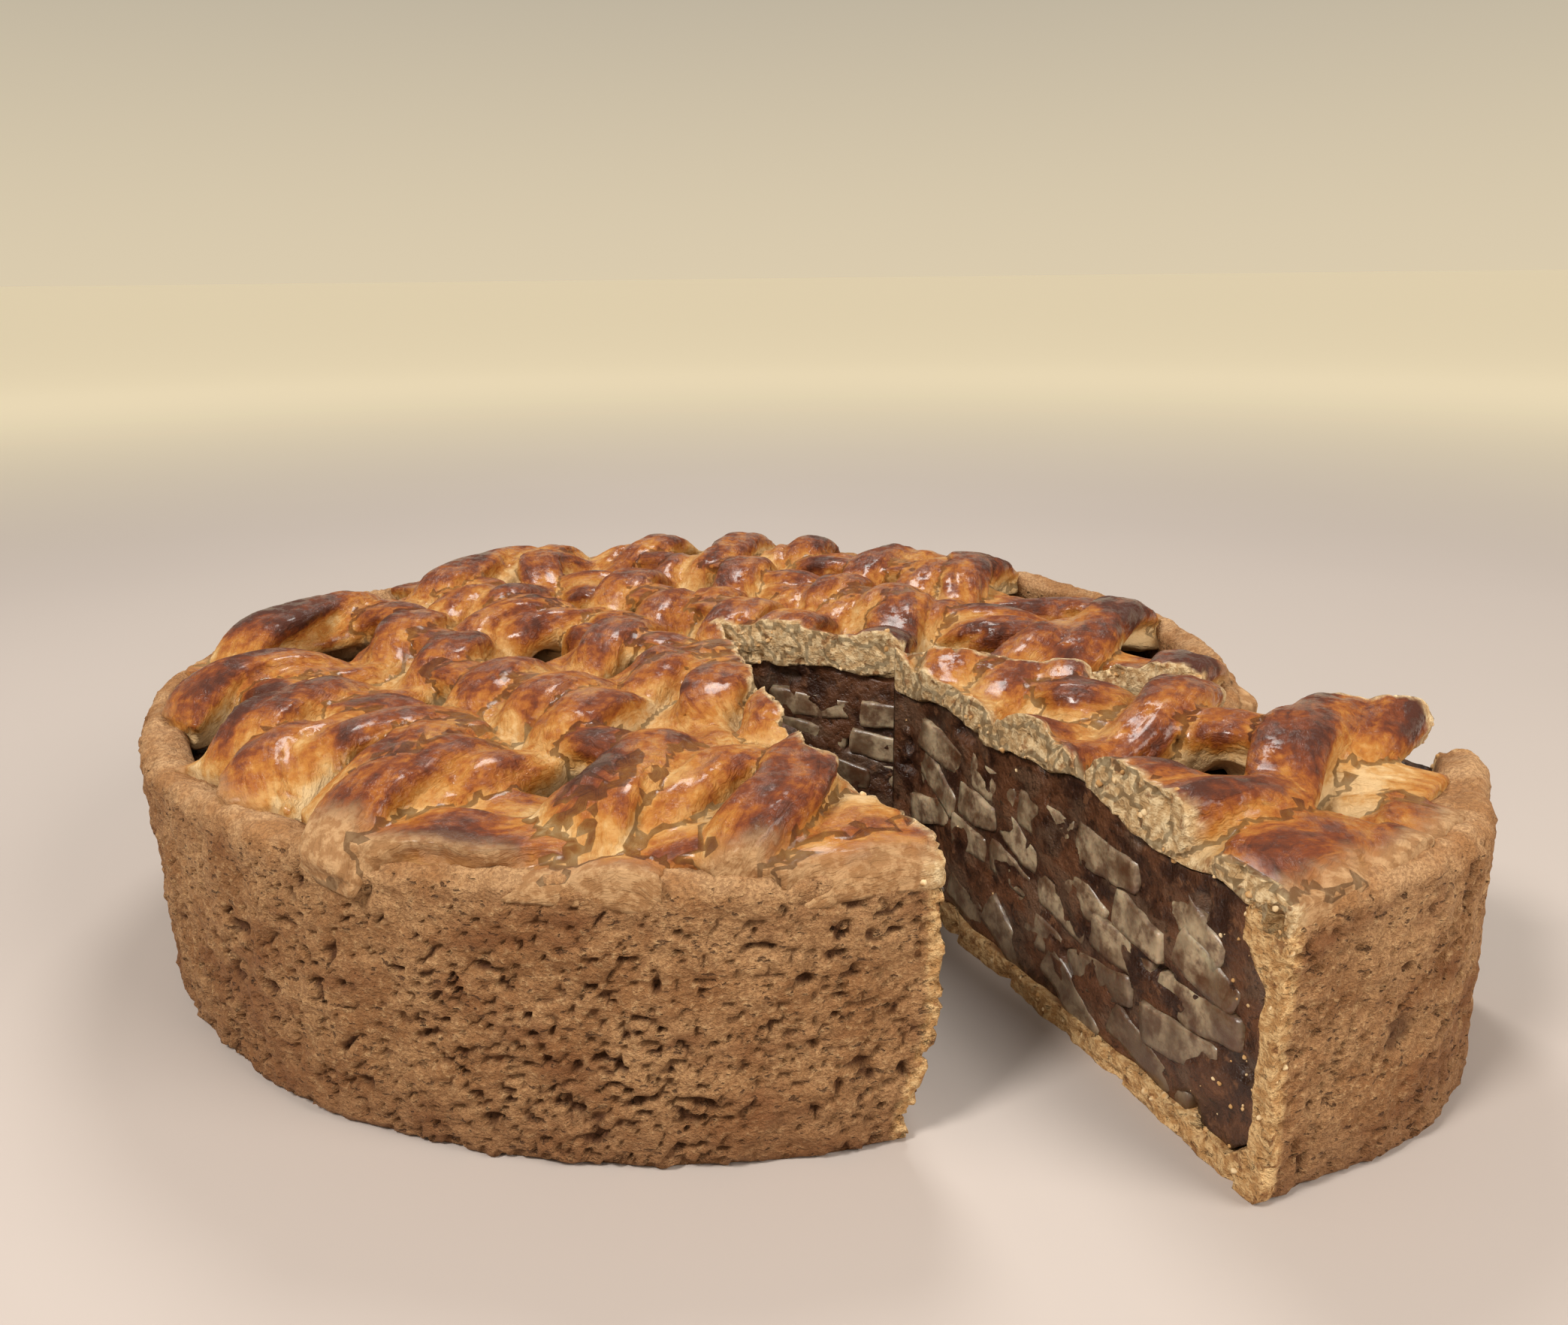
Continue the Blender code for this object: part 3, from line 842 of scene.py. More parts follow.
def geometry_recipe(name, numbers):
    """An empty tree of geometry nodes with the named inputs, and their values by name."""
    tree = bpy.data.node_groups.new(name, "GeometryNodeTree")
    tree.is_modifier = True
    tree.interface.new_socket("Geometry", in_out="INPUT", socket_type="NodeSocketGeometry")
    tree.interface.new_socket("Geometry", in_out="OUTPUT", socket_type="NodeSocketGeometry")
    for title, kind in numbers.items():
        tree.interface.new_socket(title, in_out="INPUT", socket_type=kind)
    recipe = Recipe(tree)
    first = recipe.node("NodeGroupInput")
    return tree, recipe, {title: first.also(title) for title in ("Geometry", *numbers)}


def mesh_value(recipe, title, kind="FLOAT"):
    """The number or vector that the mesh keeps under this name, for geometry nodes."""
    return recipe.node("GeometryNodeInputNamedAttribute", {"data_type": kind}, {"Name": title})


def jostled(recipe, shapes, fineness, detail, reach):
    """Shifts every point a little by noise, so that no two shapes are alike."""
    spot = recipe.node("GeometryNodeInputPosition")
    sockets = {"Vector": spot, "Scale": fineness, "Detail": detail}
    swirl = recipe.node("ShaderNodeTexNoise", None, sockets)
    centred = recipe.vector("SUBTRACT", {0: swirl.also("Color"), 1: (0.5, 0.5, 0.5)})
    shift = recipe.vector("SCALE", {0: centred, "Scale": reach})
    return recipe.node("GeometryNodeSetPosition", None, {"Geometry": shapes, "Offset": shift})


def end_recipe(recipe, shapes, material):
    """Makes the shapes real mesh, gives them their material and hands them out."""
    shapes = recipe.node("GeometryNodeRealizeInstances", None, {"Geometry": shapes})
    shapes = recipe.node("GeometryNodeSetMaterial", None, {"Geometry": shapes, "Material": material})
    recipe.node("NodeGroupOutput", None, {"Geometry": shapes})


def run_recipe(obj, tree, inputs):
    """Sets the tree's inputs by their identifiers, makes the result a plain mesh, drops the modifier."""
    modifier = obj.modifiers.new(tree.name, "NODES")
    modifier.node_group = tree
    for item in tree.interface.items_tree:
        if item.item_type == "SOCKET" and item.in_out == "INPUT" and item.name in inputs:
            modifier[item.identifier] = inputs[item.name]
    bpy.context.view_layer.update()
    graph = bpy.context.evaluated_depsgraph_get()
    result = bpy.data.meshes.new_from_object(obj.evaluated_get(graph))
    obj.modifiers.clear()
    return result


NUMBER = "NodeSocketFloat"
tree, recipe, given = geometry_recipe("apple_slabs", {
    "Roundness": NUMBER, "Taper": NUMBER, "Unevenness": NUMBER, "Apple": "NodeSocketMaterial",
})
block = recipe.node("GeometryNodeMeshCube", None, {
    "Size": (1.0, 1.0, 1.0), "Vertices X": 15, "Vertices Y": 5, "Vertices Z": 8,
})
corner = recipe.node("GeometryNodeInputPosition")
length = recipe.vector("LENGTH", {0: corner}).also("Value")
pulled_in = 1.0 - given["Roundness"] * (length ** 4.0)
rounded = recipe.vector("SCALE", {0: corner, "Scale": pulled_in})
parts = recipe.node("ShaderNodeSeparateXYZ", None, {0: rounded})
side_x, side_y = parts.also("X"), parts.also("Y")
wedged = parts.also("Z") * (1.0 - given["Taper"] * side_x)
rounded = recipe.node("ShaderNodeCombineXYZ", None, {"X": side_x, "Y": side_y, "Z": wedged})
block = recipe.node("GeometryNodeSetPosition", None, {"Geometry": block, "Position": rounded})
turn = recipe.node("FunctionNodeEulerToRotation", None, {0: mesh_value(recipe, "turn", "FLOAT_VECTOR")})
laid = recipe.node("GeometryNodeInstanceOnPoints", None, {
    "Points": given["Geometry"], "Instance": block, "Rotation": turn,
    "Scale": mesh_value(recipe, "size", "FLOAT_VECTOR"),
})
laid = recipe.node("GeometryNodeRealizeInstances", None, {"Geometry": laid})
laid = jostled(recipe, laid, 160.0, 2.0, given["Unevenness"])
end_recipe(recipe, laid, given["Apple"])
slab_tree = tree

apple, recipe, shader, place = new_material("baked_apple")
cloud = recipe.grain(place, 0.0080, 4.0)
fibre = recipe.grain(place, 0.0016, 4.0, 0.6)
flesh = recipe.blend(recipe.step(cloud, 0.36, 0.60), (0.150, 0.094, 0.054), (0.430, 0.325, 0.205))
flesh = recipe.blend(recipe.step(fibre, 0.50, 0.72) * 0.6, flesh, (0.095, 0.046, 0.022))
smeared = recipe.step(recipe.grain(place, 0.0052, 5.0, 0.65), 0.42, 0.64)
flesh = recipe.blend(smeared * 0.85, flesh, (0.080, 0.029, 0.011))
high = recipe.step(recipe.height_of(place), 0.012, 0.026)
flesh = recipe.blend((1.0 - high) * 0.55, flesh, (0.085, 0.048, 0.028))
recipe.feed(shader, {
    "Base Color": flesh,
    "Roughness": recipe.step(cloud, 0.35, 0.65, 0.34, 0.55),
    "Normal": recipe.bumps(fibre, 0.0004, 0.6),
    "Subsurface Weight": 0.20,
    "Subsurface Scale": 0.003,
    "Coat Weight": 0.30,
    "Coat Roughness": 0.22,
})

for title, in_slice, node in (
    ("pie_slabs", False, "pie_filling"),
    ("slice_slabs", True, "slice_filling"),
):
    spots = [spot for row in SLAB_CUTS if row[-1] == in_slice for spot in slab_spots(*row[:-1])]
    cloud_object = spots_object(title, spots)
    slabs = run_recipe(cloud_object, slab_tree, {
        "Roundness": 0.14, "Taper": 0.35, "Unevenness": 0.0018, "Apple": apple,
    })
    if in_slice:
        slabs.transform(slice_move)
    cloud_object.data = slabs
    finished(cloud_object, apple, node)


# The brown apple: loose pieces, soft and brown with cinnamon, that lie at odd angles on the filling
# and show in the holes of the lattice. Made from the same rounded block as the slabs.
HOLE_PIECES = 3
CLEAR_OF_CUT = 0.0075
# Where the lattice stays open: the middle of each hole and its half width
OPENINGS = (
    (-0.081, 0.018, 0.0060),
    (-0.088, -0.004, 0.0055),
    (-0.063, -0.072, 0.0060),
    (-0.039, 0.004, 0.0075),
    (-0.015, -0.022, 0.0070),
    (0.006, -0.059, 0.0065),
    (0.091, 0.025, 0.0060),
    (0.033, -0.066, 0.0080),
    (0.030, 0.060, 0.0055),
    (-0.030, 0.070, 0.0055),
    (0.070, -0.010, 0.0050),
    (0.0175, -0.0435, 0.0055),
    (0.0290, -0.0900, 0.0045),
    (0.045, -0.022, 0.0050),
)

cinnamon_apple, recipe, shader, place = new_material("cinnamon_apple")
cloud = recipe.grain(place, 0.0060, 4.0)
stain = recipe.blend(recipe.step(cloud, 0.36, 0.62), (0.150, 0.050, 0.018), (0.330, 0.150, 0.066))
specks = recipe.step(recipe.grain(place, 0.0018, 3.0), 0.52, 0.66)
stain = recipe.blend(specks * 0.7, stain, (0.075, 0.022, 0.008))
recipe.feed(shader, {
    "Base Color": stain, "Roughness": 0.38, "Normal": recipe.bumps(cloud, 0.0008, 0.6),
})

chance = np.random.default_rng(31)
for title, in_slice in (("apple_in_holes", False), ("slice_apple_in_holes", True)):
    spots = []
    for x, y, wide in OPENINGS:
        for piece in range(HOLE_PIECES):
            at_x = x + chance.uniform(-0.6, 0.6) * wide
            at_y = y + chance.uniform(-0.6, 0.6) * wide
            away = Vector((at_x, at_y, 0.0)) - GAP_APEX
            azimuth = math.atan2(away.y, away.x) % (2.0 * math.pi)
            aside = min(abs(azimuth - GAP_FROM), abs(azimuth - GAP_TO)) * away.length
            size = [chance.uniform(*span) for span in ((0.009, 0.013), (0.006, 0.009), (0.0035, 0.005))]
            lay = [chance.uniform(*span) for span in ((-0.35, 0.35), (-0.35, 0.35), (0.0, 3.1))]
            if (GAP_FROM < azimuth < GAP_TO) == in_slice and aside > CLEAR_OF_CUT:
                spots.append(((at_x, at_y, filling_top(at_x, at_y) + 0.0006), lay, size))
    pieces = spots_object(title, spots)
    laid = run_recipe(pieces, slab_tree, {
        "Roundness": 0.30, "Taper": 0.30, "Unevenness": 0.0030, "Apple": cinnamon_apple,
    })
    if in_slice:
        laid.transform(slice_move)
    pieces.data = laid
    finished(pieces, cinnamon_apple, "slice_filling" if in_slice else "pie_filling")


# The lattice: bands of dough, each twisted about its length into soft rolls, laid corner to corner
# over each other and pressed into the rim, brushed with egg and baked dark on their crests.
ROLL_RADIUS = 0.0066
ROLL_OFFSET = 0.0047
ROLL_FLAP = 0.12
FOLD_DEPTH = 0.0024
CREASE_DEPTH = 0.0016
ROLL_TOP = 0.0074
ROLL_BOTTOM = 0.0050
STRIP_LEVEL = 0.0480
STRIP_LIFT = 0.0034
STRIP_STATION = 0.0013
STRIP_SWAY_SIZE = 0.030
TWIST_PITCH = 0.116
SIDE_SWAY = 0.0018
TWIST_SWAY = 0.45
WIDTH_SWAY = 0.10
UNDER_GIRTH = 0.15
STRIP_END = 0.0180
STRIP_TAPER = 0.011
STRIP_TIP = 0.25
STRIP_BAKED = 0.020
STRIP_REACH = 0.1135
STRIP_STOP = 0.1125
STRIP_LIMIT = 0.1165
STRIP_RIM_LEVEL = 0.0465
END_GIRTH = 0.66
END_PRESS = 0.50
HANG_REACH = 0.1195
HANG_LIMIT = 0.1225
HANG_DROP = 0.0030
BED_REACH = 0.135
BED_STEP = 0.0435
TORN_BACK = math.tan(math.radians(7.0))
TORN_UNTIL = 0.088
TORN_FADE = 0.014
DOUGH_CELL = 0.00085
DOUGH_FACES_KEPT = 0.45

# Each strip: its heading in degrees, its distance from the pie's centre, how far it bows
# sideways, its twist at the start in degrees, and whether its start and its end hang over the rim.
RISING_STRIPS = (
    (55, -0.092, 0.002, 20, False, False),
    (56, -0.066, -0.002, 70, False, False),
    (57, -0.039, -0.001, 40, False, False),
    (60, -0.019, 0.002, 120, False, False),
    (52, 0.003, -0.002, 60, False, False),
    (50, 0.019, -0.002, 60, True, False),
    (59, 0.035, 0.002, 30, False, False),
    (42, 0.064, -0.002, 100, False, False),
    (36, 0.088, 0.002, 20, False, False),
)
FALLING_STRIPS = (
    (-44, -0.084, 0.003, 30, False, False),
    (-48, -0.050, -0.002, 90, False, True),
    (-52, -0.016, 0.002, 10, False, False),
    (-54, 0.020, -0.002, 60, False, False),
    (-54, 0.052, 0.002, 120, False, False),
    (-50, 0.084, -0.002, 50, False, False),
)

# Short strips along the rim: azimuths of the ends in degrees, radius, level, girth, twist, how brown
RIM_STRIPS = (
    (241, 266, 0.1100, 0.0478, 0.50, 25, 1.0),
    (262, 286, 0.1030, 0.0482, 0.78, 150, 1.0),
    (274, 296, 0.1120, 0.0466, 0.46, 60, 0.7),
    (289, 305, 0.1105, 0.0482, 0.52, 80, 1.0),
    (303, 314, 0.1115, 0.0462, 0.40, 10, 0.8),
)

# How far strips give way to the holes, and how the short strips taper and lie on the rim
OPENING_ROOM = 0.0090
OPENING_LENGTH = 0.0150
OPENING_PUSH = 0.0102
OPENING_SLIM = 0.40
RIM_TAPER = 0.012
RIM_TIP = 0.15
RIM_PRESS = 0.62
RIM_LIMIT = STRIP_LIMIT + 0.0020


def line_of(strip):
    angle = math.radians(strip[0])
    along = Vector((math.cos(angle), math.sin(angle)))
    right = Vector((along.y, -along.x))
    return along, right, right * strip[1]


def crossings(strip, others, lift):
    """The strip's lift where it crosses those of the other direction, and halfway between them."""
    along, _, foot = line_of(strip)
    places = []
    for other in others:
        _, other_right, other_foot = line_of(other)
        distance = (other_foot - foot).dot(other_right) / along.dot(other_right)
        if (foot + along * distance).length < STRIP_REACH - STRIP_END:
            places.append(distance)
    places.sort()
    knots = [(spot, lift) for spot in places]
    knots += [((low + high) / 2.0, -0.5 * lift) for low, high in zip(places, places[1:])]
    return sorted(knots)


def lift_at(distance, knots):
    before = [k for k in knots if k[0] <= distance]
    after = [k for k in knots if k[0] > distance]
    if not before:
        return after[0][1] if after else 0.0
    if not after:
        return before[-1][1]
    (s0, h0), (s1, h1) = before[-1], after[0]
    return mixed(h0, h1, eased((distance - s0) / (s1 - s0)))


def beside_openings(distance, offset, along, right):
    """How far a strip gives way sideways to the holes beside it, and how much thinner it is there."""
    shift = 0.0
    slim = 0.0
    for x, y, wide in OPENINGS:
        hole = Vector((x, y))
        aside = hole.dot(right) - offset
        room = wide + OPENING_ROOM - abs(aside)
        near = math.exp(-((distance - hole.dot(along)) / OPENING_LENGTH) ** 2)
        if room > 0.0:
            shift -= math.copysign(min(room, OPENING_PUSH), aside) * near
            slim = max(slim, near * min(1.0, room / OPENING_PUSH))
    return shift, slim


def strip_line(strip, knots, seed):
    """The middle line of a strip, with its twist, girth and how flat it is pressed at each station."""
    _, offset, bow, twist, hang_start, hang_end = strip
    along, right, foot = line_of(strip)
    start = -math.sqrt((HANG_REACH if hang_start else STRIP_STOP) ** 2 - offset ** 2)
    end = math.sqrt((HANG_REACH if hang_end else STRIP_STOP) ** 2 - offset ** 2)
    stations = round((end - start) / STRIP_STATION)
    line = []
    for station in range(stations + 1):
        share = station / stations
        distance = mixed(start, end, share)
        edge = min(distance - start, end - distance)
        inside = eased(edge / STRIP_END)
        hangs = hang_start if share < 0.5 else hang_end
        spot = foot + along * distance + right * (bow * math.sin(math.pi * share))
        sway = rough(spot.x, spot.y, 0.0, STRIP_SWAY_SIZE, seed)
        shift, slim = beside_openings(distance, offset, along, right)
        spot += right * (SIDE_SWAY * sway + shift)
        rim = STRIP_RIM_LEVEL - (HANG_DROP if hangs else 0.0) * (1.0 - inside)
        lift = lift_at(distance, knots)
        height = mixed(rim, STRIP_LEVEL + lift, inside)
        turn = math.radians(twist) + 2.0 * math.pi * (distance - start) / TWIST_PITCH + TWIST_SWAY * sway
        girth = mixed(END_GIRTH, 1.0, inside) * (1.0 + WIDTH_SWAY * sway) * (1.0 - OPENING_SLIM * slim)
        girth *= 1.0 + UNDER_GIRTH * lift / STRIP_LIFT
        girth *= eased(edge / STRIP_TAPER + STRIP_TIP)
        press = mixed(END_PRESS, 1.0, inside)
        limit = mixed(HANG_LIMIT, STRIP_LIMIT, inside) if hangs else STRIP_LIMIT
        baked = 1.0 if hangs else eased(edge / STRIP_BAKED)
        line.append((spot.x, spot.y, height, -turn, girth, press, distance + seed, limit, baked))
    return line


strip_lines = []
for strips, others, lift, seed in (
    (RISING_STRIPS, FALLING_STRIPS, STRIP_LIFT, 40),
    (FALLING_STRIPS, RISING_STRIPS, -STRIP_LIFT, 20),
):
    for number, strip in enumerate(strips):
        strip_lines.append(strip_line(strip, crossings(strip, others, lift), seed + number))

for number, (start, end, reach, level, girth, twist, baked) in enumerate(RIM_STRIPS):
    line = []
    span = math.radians(end - start)
    stations = round(span * reach / STRIP_STATION)
    for station in range(stations + 1):
        share = station / stations
        x, y = on_circle(math.radians(start) + span * share, reach)
        edge = min(share, 1.0 - share) * span * reach
        inside = eased(edge / RIM_TAPER)
        sway = rough(x, y, 0.0, 0.012, 90 + number)
        turn = math.radians(twist) + 2.0 * math.pi * share * span * reach / TWIST_PITCH + sway
        slim = girth * (RIM_TIP + (1.0 - RIM_TIP) * inside) * (1.0 + 0.15 * sway)
        height = level + 0.0008 * sway - 0.0015 * (1.0 - inside)
        distance = share * span * reach + 90 + number
        line.append((x, y, height, -turn, slim, RIM_PRESS, distance, RIM_LIMIT, baked))
    strip_lines.append(line)

lines_mesh = bpy.data.meshes.new("strip_lines")
line_edges = []
count = 0
for line in strip_lines:
    line_edges += [(count + i, count + i + 1) for i in range(len(line) - 1)]
    count += len(line)
line_points = [point for line in strip_lines for point in line]
lines_mesh.from_pydata([point[:3] for point in line_points], line_edges, [])
for column, name in enumerate(("twist", "girth", "press", "along", "limit", "baked"), start=3):
    note(lines_mesh, name, [point[column] for point in line_points])
note(lines_mesh, "middle", [point[2] for point in line_points])
strips_object = bpy.data.objects.new("strips", lines_mesh)
bpy.context.scene.collection.objects.link(strips_object)

tree, recipe, given = geometry_recipe("twisted_strips", {
    "Roll Radius": NUMBER, "Roll Offset": NUMBER, "Flap": NUMBER, "Fold Depth": NUMBER,
    "Crease Depth": NUMBER, "Height Above": NUMBER, "Height Below": NUMBER,
    "Dough": "NodeSocketMaterial",
})
path = recipe.node("GeometryNodeMeshToCurve", None, {"Mesh": given["Geometry"]})
path = recipe.node("GeometryNodeSetCurveNormal", {"mode": "Z_UP"}, {"Curve": path})
path = recipe.node("GeometryNodeSetCurveTilt", None, {
    "Curve": path, "Tilt": mesh_value(recipe, "twist"),
})
path = recipe.node("GeometryNodeSetCurveRadius", None, {
    "Curve": path, "Radius": mesh_value(recipe, "girth"),
})
oval = recipe.node("GeometryNodeCurvePrimitiveCircle", None, {"Resolution": 64, "Radius": 1.0})
spot = recipe.node("ShaderNodeSeparateXYZ", None, {0: recipe.node("GeometryNodeInputPosition")})
side_x, side_y = spot.also("X"), spot.also("Y")
for title, value in (("lap_x", side_x), ("lap_y", side_y)):
    oval = recipe.node(
        "GeometryNodeStoreNamedAttribute", {"data_type": "FLOAT", "domain": "POINT"},
        {"Geometry": oval, "Name": title, "Value": value},
    )
half_turns = side_y.sums("ARCTAN2", side_y, side_x) / math.pi
share = half_turns.sums("FRACT", half_turns, 0.0)
swell = share.sums("MINIMUM", share / 0.80, (1.0 - share) / 0.20)
low_part = (given["Roll Offset"] * side_y) ** 2.0
chord = (given["Roll Radius"] ** 2.0 - low_part) ** 0.5
reach = given["Roll Offset"] * side_x.sums("ABSOLUTE", side_x, 0.0) + chord
swollen = reach * (1.0 + given["Flap"] * (swell - 0.5))
shaped = recipe.node("ShaderNodeCombineXYZ", None, {"X": side_x * swollen, "Y": side_y * swollen})
oval = recipe.node("GeometryNodeSetPosition", None, {"Geometry": oval, "Position": shaped})
band = recipe.node("GeometryNodeCurveToMesh", None, {
    "Curve": path, "Profile Curve": oval, "Fill Caps": True,
})
fold_place = recipe.node("ShaderNodeCombineXYZ", None, {
    "X": mesh_value(recipe, "lap_x") * 2.4,
    "Y": mesh_value(recipe, "lap_y") * 2.4,
    "Z": mesh_value(recipe, "along") * 26.0,
})
folds = recipe.node("ShaderNodeTexNoise", None, {"Vector": fold_place, "Scale": 1.0, "Detail": 2.0})
crease = recipe.step(folds.sums("ABSOLUTE", folds - 0.5, 0.0), 0.045, 0.0)
depth = (folds - 0.5) * given["Fold Depth"] - crease * given["Crease Depth"]
normal = recipe.node("GeometryNodeInputNormal")
push = recipe.vector("SCALE", {0: normal, "Scale": depth})
band = recipe.node("GeometryNodeSetPosition", None, {"Geometry": band, "Offset": push})
spot = recipe.node("ShaderNodeSeparateXYZ", None, {0: recipe.node("GeometryNodeInputPosition")})
middle = mesh_value(recipe, "middle")
rise = spot.also("Z") - middle
above = rise.sums("GREATER_THAN", rise, 0.0)
room = given["Height Below"] + above * (given["Height Above"] - given["Height Below"])
room = room * mesh_value(recipe, "press")
steep = rise.sums("ABSOLUTE", rise / room, 0.0)
pressed = middle + rise / (1.0 + steep ** 3.0) ** (1.0 / 3.0)
out = (spot.also("X") ** 2.0 + spot.also("Y") ** 2.0) ** 0.5
drawn_in = out.sums("MINIMUM", mesh_value(recipe, "limit") / out, 1.0)
flat = recipe.node("ShaderNodeCombineXYZ", None, {
    "X": spot.also("X") * drawn_in, "Y": spot.also("Y") * drawn_in, "Z": pressed,
})
band = recipe.node("GeometryNodeSetPosition", None, {"Geometry": band, "Position": flat})
end_recipe(recipe, band, given["Dough"])

glazed, recipe, shader, place = new_material("glazed_dough")
strips_mesh = run_recipe(strips_object, tree, {
    "Roll Radius": ROLL_RADIUS, "Roll Offset": ROLL_OFFSET, "Flap": ROLL_FLAP,
    "Fold Depth": FOLD_DEPTH, "Crease Depth": CREASE_DEPTH, "Height Above": ROLL_TOP,
    "Height Below": ROLL_BOTTOM, "Dough": glazed,
})
bands = bpy.data.objects.new("bands", strips_mesh)
bpy.context.scene.collection.objects.link(bands)
bpy.data.objects.remove(strips_object, do_unlink=True)

lattice = bpy.data.objects.new("lattice", strips_mesh.copy())
bpy.context.scene.collection.objects.link(lattice)
remesh = lattice.modifiers.new("one_dough", "REMESH")
remesh.mode = "VOXEL"
remesh.voxel_size = DOUGH_CELL
remesh.adaptivity = 0.0
smooth = lattice.modifiers.new("soft", "SMOOTH")
smooth.factor = 0.5
smooth.iterations = 1
apply_modifiers(lattice)


def under_strips(azimuth):
    """The section of what lies under the strips: the filling's top, and a flat step over the wall."""
    points = [(BED_REACH, 0.030), (BED_REACH, BED_STEP), (STRIP_REACH, BED_STEP)]
    for step in range(MASS_STEPS + 1):
        reach = mixed(STRIP_REACH - 0.0005, 0.003, step / MASS_STEPS)
        points.append((reach, filling_top(*on_circle(azimuth, reach)) + 0.0002))
    return points


def torn_back(distance, level):
    """The strips left of the gap tore off short of the cut, so the filling shows beside them."""
    ragged = 0.0015 * rough(distance, level, 0.0, 0.0120, 87)
    inside = 1.0 - eased((distance - TORN_UNTIL) / TORN_FADE)
    return max(0.0, distance * TORN_BACK + ragged) * inside


# How high the dough stands at each spot of the plan, and how high round about: their difference
# tells the crests, which brown, from the creases, which stay pale.
PLAN_CELL = 0.001
PLAN_HALF = 0.130
PLAN_FLOOR = 0.0430
PLAN_SPREAD = 6
plan_count = round(2.0 * PLAN_HALF / PLAN_CELL)


def plan_index(values):
    return np.clip(((values + PLAN_HALF) / PLAN_CELL).astype(int), 0, plan_count - 1)


def spread(field, reach):
    """The field averaged over a distance, given in cells."""
    kernel = np.exp(-0.5 * (np.arange(-3 * reach, 3 * reach + 1) / reach) ** 2)
    kernel /= kernel.sum()
    rows = np.apply_along_axis(lambda line: np.convolve(line, kernel, mode="same"), 0, field)
    return np.apply_along_axis(lambda line: np.convolve(line, kernel, mode="same"), 1, rows)


points = places_of(lattice.data)
plan = np.full((plan_count, plan_count), PLAN_FLOOR)
np.maximum.at(plan, (plan_index(points[:, 0]), plan_index(points[:, 1])), points[:, 2])
around = spread(plan, PLAN_SPREAD)
fewer = lattice.modifiers.new("fewer_faces", "DECIMATE")
fewer.ratio = DOUGH_FACES_KEPT
apply_modifiers(lattice)

fold_tree = KDTree(len(strips_mesh.vertices))
for number, vertex in enumerate(strips_mesh.vertices):
    fold_tree.insert(vertex.co, number)
fold_tree.balance()
fold_values = {}
for title in ("lap_x", "lap_y", "along", "baked"):
    values = np.empty(len(strips_mesh.vertices), dtype=np.float32)
    strips_mesh.attributes[title].data.foreach_get("value", values)
    fold_values[title] = values


def note_folds(mesh, back=None):
    """Notes where each point of the dough lies on its strip: round the section and along it."""
    nearest = []
    for vertex in mesh.vertices:
        spot = back @ vertex.co if back is not None else vertex.co
        nearest.append(fold_tree.find(spot)[1])
    for title, values in fold_values.items():
        note(mesh, title, values[nearest])


RIM_DRY_FROM = 0.1128
RIM_DRY_FADE = 0.0040


def note_crests(mesh, back=None):
    """Notes how far the dough stands above its surroundings, and where it is pressed into the rim."""
    spots = places_of(mesh)
    if back is not None:
        turned = np.array([tuple(back @ Vector(spot)) for spot in spots])
    else:
        turned = spots
    level_round = around[plan_index(turned[:, 0]), plan_index(turned[:, 1])]
    note(mesh, "crest", (turned[:, 2] - level_round) * 1000.0)
    ragged = np.array([0.0016 * rough(x, y, z, 0.0060, 88) for x, y, z in turned])
    out = np.hypot(turned[:, 0], turned[:, 1]) + ragged
    note(mesh, "rim", np.clip((out - RIM_DRY_FROM) / RIM_DRY_FADE, 0.0, 1.0))


torn_gap = wedge("torn_gap", GAP_APEX, GAP_FROM, GAP_TO, 17, torn_back, crumb_relief, 1.0)
bed = turned_solid("bed", under_strips, MASS_COLUMNS)
cut(lattice, bed, "DIFFERENCE")
slice_strips = shares(lattice, "slice_strips", torn_gap, crumb_knife, torn_back)
note_crests(lattice.data)
note_crests(slice_strips.data, slice_move.inverted())
note_folds(lattice.data)
note_folds(slice_strips.data, slice_move.inverted())
for tool in (bed, torn_gap, crumb_gap, crumb_knife, mass_gap, mass_knife, bands):
    bpy.data.objects.remove(tool, do_unlink=True)

recipe = Recipe(glazed.node_tree)
crest = recipe.noted("crest")
bare = recipe.noted("cut")
baked = recipe.noted("baked")
rim = recipe.noted("rim")
on_strip = recipe.node("ShaderNodeCombineXYZ", None, {
    "X": recipe.noted("lap_x"), "Y": recipe.noted("lap_y"), "Z": recipe.noted("along"),
})
patchy = recipe.grain(recipe.stretched(on_strip, 1.3, 1.3, 42.0), 1.0, 4.0, 0.6)
streaky = recipe.grain(recipe.stretched(on_strip, 6.0, 6.0, 170.0), 1.0, 4.0, 0.65)
patchy = patchy * 0.55 + recipe.grain(place, 0.0100, 4.0, 0.6) * 0.45
speckle = recipe.grain(place, 0.0022, 4.0, 0.65)
shade = crest * 1.1 + (patchy - 0.5) * 21.0 + (streaky - 0.5) * 3.4 + (speckle - 0.5) * 6.5
shade = shade + (baked - 1.0) * 4.0 + 0.1
glaze = recipe.node("ShaderNodeValToRGB", {"stops": (
    (0.00, (0.600, 0.410, 0.205)),
    (0.16, (0.480, 0.255, 0.078)),
    (0.34, (0.385, 0.150, 0.023)),
    (0.52, (0.290, 0.084, 0.009)),
    (0.70, (0.160, 0.033, 0.005)),
    (0.92, (0.060, 0.013, 0.004)),
)}, {"Fac": recipe.step(shade, -6.0, 7.0)})
dry = recipe.blend(recipe.step(speckle, 0.42, 0.60), (0.300, 0.150, 0.058), (0.450, 0.265, 0.125))
glaze = recipe.blend(rim, glaze, dry)
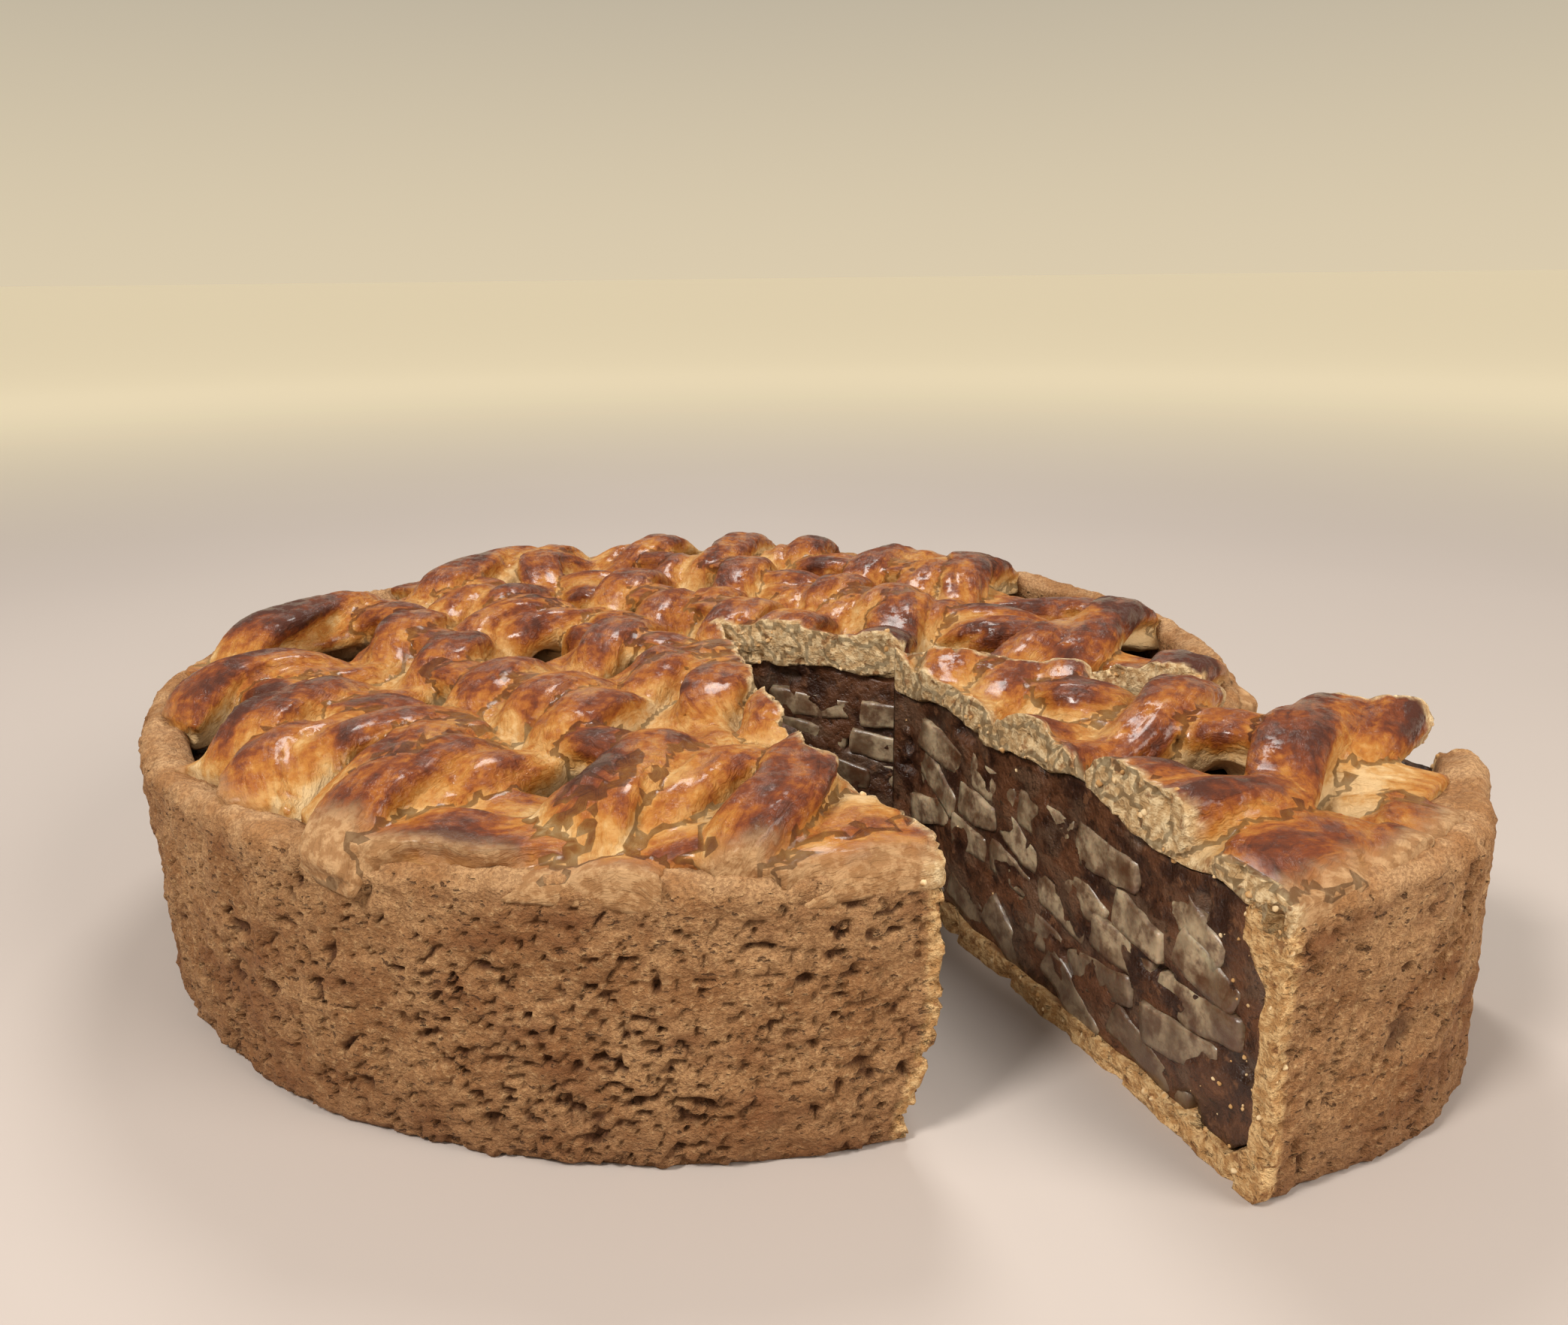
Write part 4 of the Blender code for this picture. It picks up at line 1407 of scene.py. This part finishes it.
# The last colour is the brown of painted shade in the crumb's holes.
crumb_grain, crumb = bare_crumb(
    recipe, place, (0.46, 0.290, 0.135), (0.70, 0.53, 0.31), (0.260, 0.115, 0.038), 0.58,
)
washed = recipe.step(shade, -3.5, 0.0) * (1.0 - bare) * (1.0 - rim)
broken = recipe.step(recipe.grain(place, 0.0042, 5.0, 0.7), 0.45, 0.55)
egg = washed * broken
relief = streaky * 0.9 + speckle * 0.45 + recipe.grain(place, 0.0008, 2.0) * 0.2
relief = relief + crumb_grain * bare * 0.8
recipe.feed(shader, {
    "Base Color": recipe.blend(bare, glaze, crumb),
    "Roughness": 0.78 - egg * 0.44,
    "Normal": recipe.bumps(relief, 0.0011, 0.8),
    "Coat Weight": egg * 0.42,
    "Coat Roughness": 0.16,
    "Specular IOR Level": 0.30,
})
finished(lattice, glazed, "pie_lattice")
finished(slice_strips, glazed, "slice_lattice")


# The crumbs: grains of crust that the knife tore loose, which stick to the cut edges of the dough
# and to the moist filling beside the wall.
CRUMB_SIZE = 0.00044
FINE_CRUMB = 0.00026
CRUMBS_FROM = 0.0015
tree, recipe, given = geometry_recipe("loose_crumbs", {
    "Density": NUMBER, "Crumb Size": NUMBER, "Crust": "NodeSocketMaterial",
})
spots = recipe.node("GeometryNodeDistributePointsOnFaces", None, {
    "Mesh": given["Geometry"], "Density": mesh_value(recipe, "crumbly") * given["Density"], "Seed": 5,
})
crumb = recipe.node("GeometryNodeMeshIcoSphere", None, {
    "Radius": given["Crumb Size"], "Subdivisions": 2,
})
uneven = recipe.node("FunctionNodeRandomValue", {"data_type": "FLOAT"}, {
    "Min": 0.4, "Max": 1.5, "Seed": 6,
})
turned = recipe.node("FunctionNodeRandomValue", {"data_type": "FLOAT_VECTOR"}, {
    "Max": (6.28, 6.28, 6.28), "Seed": 7,
})
turned = recipe.node("FunctionNodeEulerToRotation", None, {0: turned})
laid = recipe.node("GeometryNodeInstanceOnPoints", None, {
    "Points": spots, "Instance": crumb, "Rotation": turned, "Scale": uneven,
})
laid = recipe.node("GeometryNodeRealizeInstances", None, {"Geometry": laid})
laid = jostled(recipe, laid, 1400.0, 1.0, given["Crumb Size"] * 1.6)
end_recipe(recipe, laid, given["Crust"])

crumbs_paint, recipe, shader, place = new_material("pale_crumbs")
paler = recipe.step(recipe.grain(place, 0.0030, 2.0), 0.42, 0.58)
recipe.feed(shader, {
    "Base Color": recipe.blend(paler, (0.50, 0.28, 0.11), (0.74, 0.56, 0.33)),
    "Roughness": 0.85,
    "Specular IOR Level": 0.2,
})


def everywhere(out):
    return 1.0


def near_wall(out):
    return np.clip((out - 0.098) / 0.012, 0.01, 1.0)


def note_crumbly(mesh, back, share_at):
    """Notes how many crumbs stick to each point of the cuts, by how far out it lies."""
    places = places_of(mesh)
    bare_cut = np.empty(len(mesh.vertices), dtype=np.float32)
    mesh.attributes["cut"].data.foreach_get("value", bare_cut)
    if back is not None:
        places = np.array([tuple(back @ Vector(place)) for place in places])
    out = np.hypot(places[:, 0], places[:, 1])
    above_floor = places[:, 2] > CRUMBS_FROM
    note(mesh, "crumbly", bare_cut * share_at(out) * above_floor)


back = slice_move.inverted()
for title, source, turned_back, share_at, density, size in (
    ("case_crumbs", case, None, everywhere, 16000.0, CRUMB_SIZE),
    ("slice_case_crumbs", slice_case, back, everywhere, 22000.0, CRUMB_SIZE),
    ("strip_crumbs", lattice, None, everywhere, 26000.0, CRUMB_SIZE),
    ("slice_strip_crumbs", slice_strips, back, everywhere, 26000.0, CRUMB_SIZE),
    ("filling_crumbs", mass, None, near_wall, 60000.0, FINE_CRUMB),
    ("slice_filling_crumbs", slice_mass, back, near_wall, 80000.0, FINE_CRUMB),
):
    crumbs = copied(source, title)
    note_crumbly(crumbs.data, turned_back, share_at)
    source_mesh = crumbs.data
    crumbs.data = run_recipe(crumbs, tree, {
        "Density": density, "Crumb Size": size, "Crust": crumbs_paint,
    })
    bpy.data.meshes.remove(source_mesh)
    finished(crumbs, crumbs_paint, None)

low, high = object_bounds()
{"cad": [list(cad_low), list(cad_high)], "visual": [list(low), list(high)]}
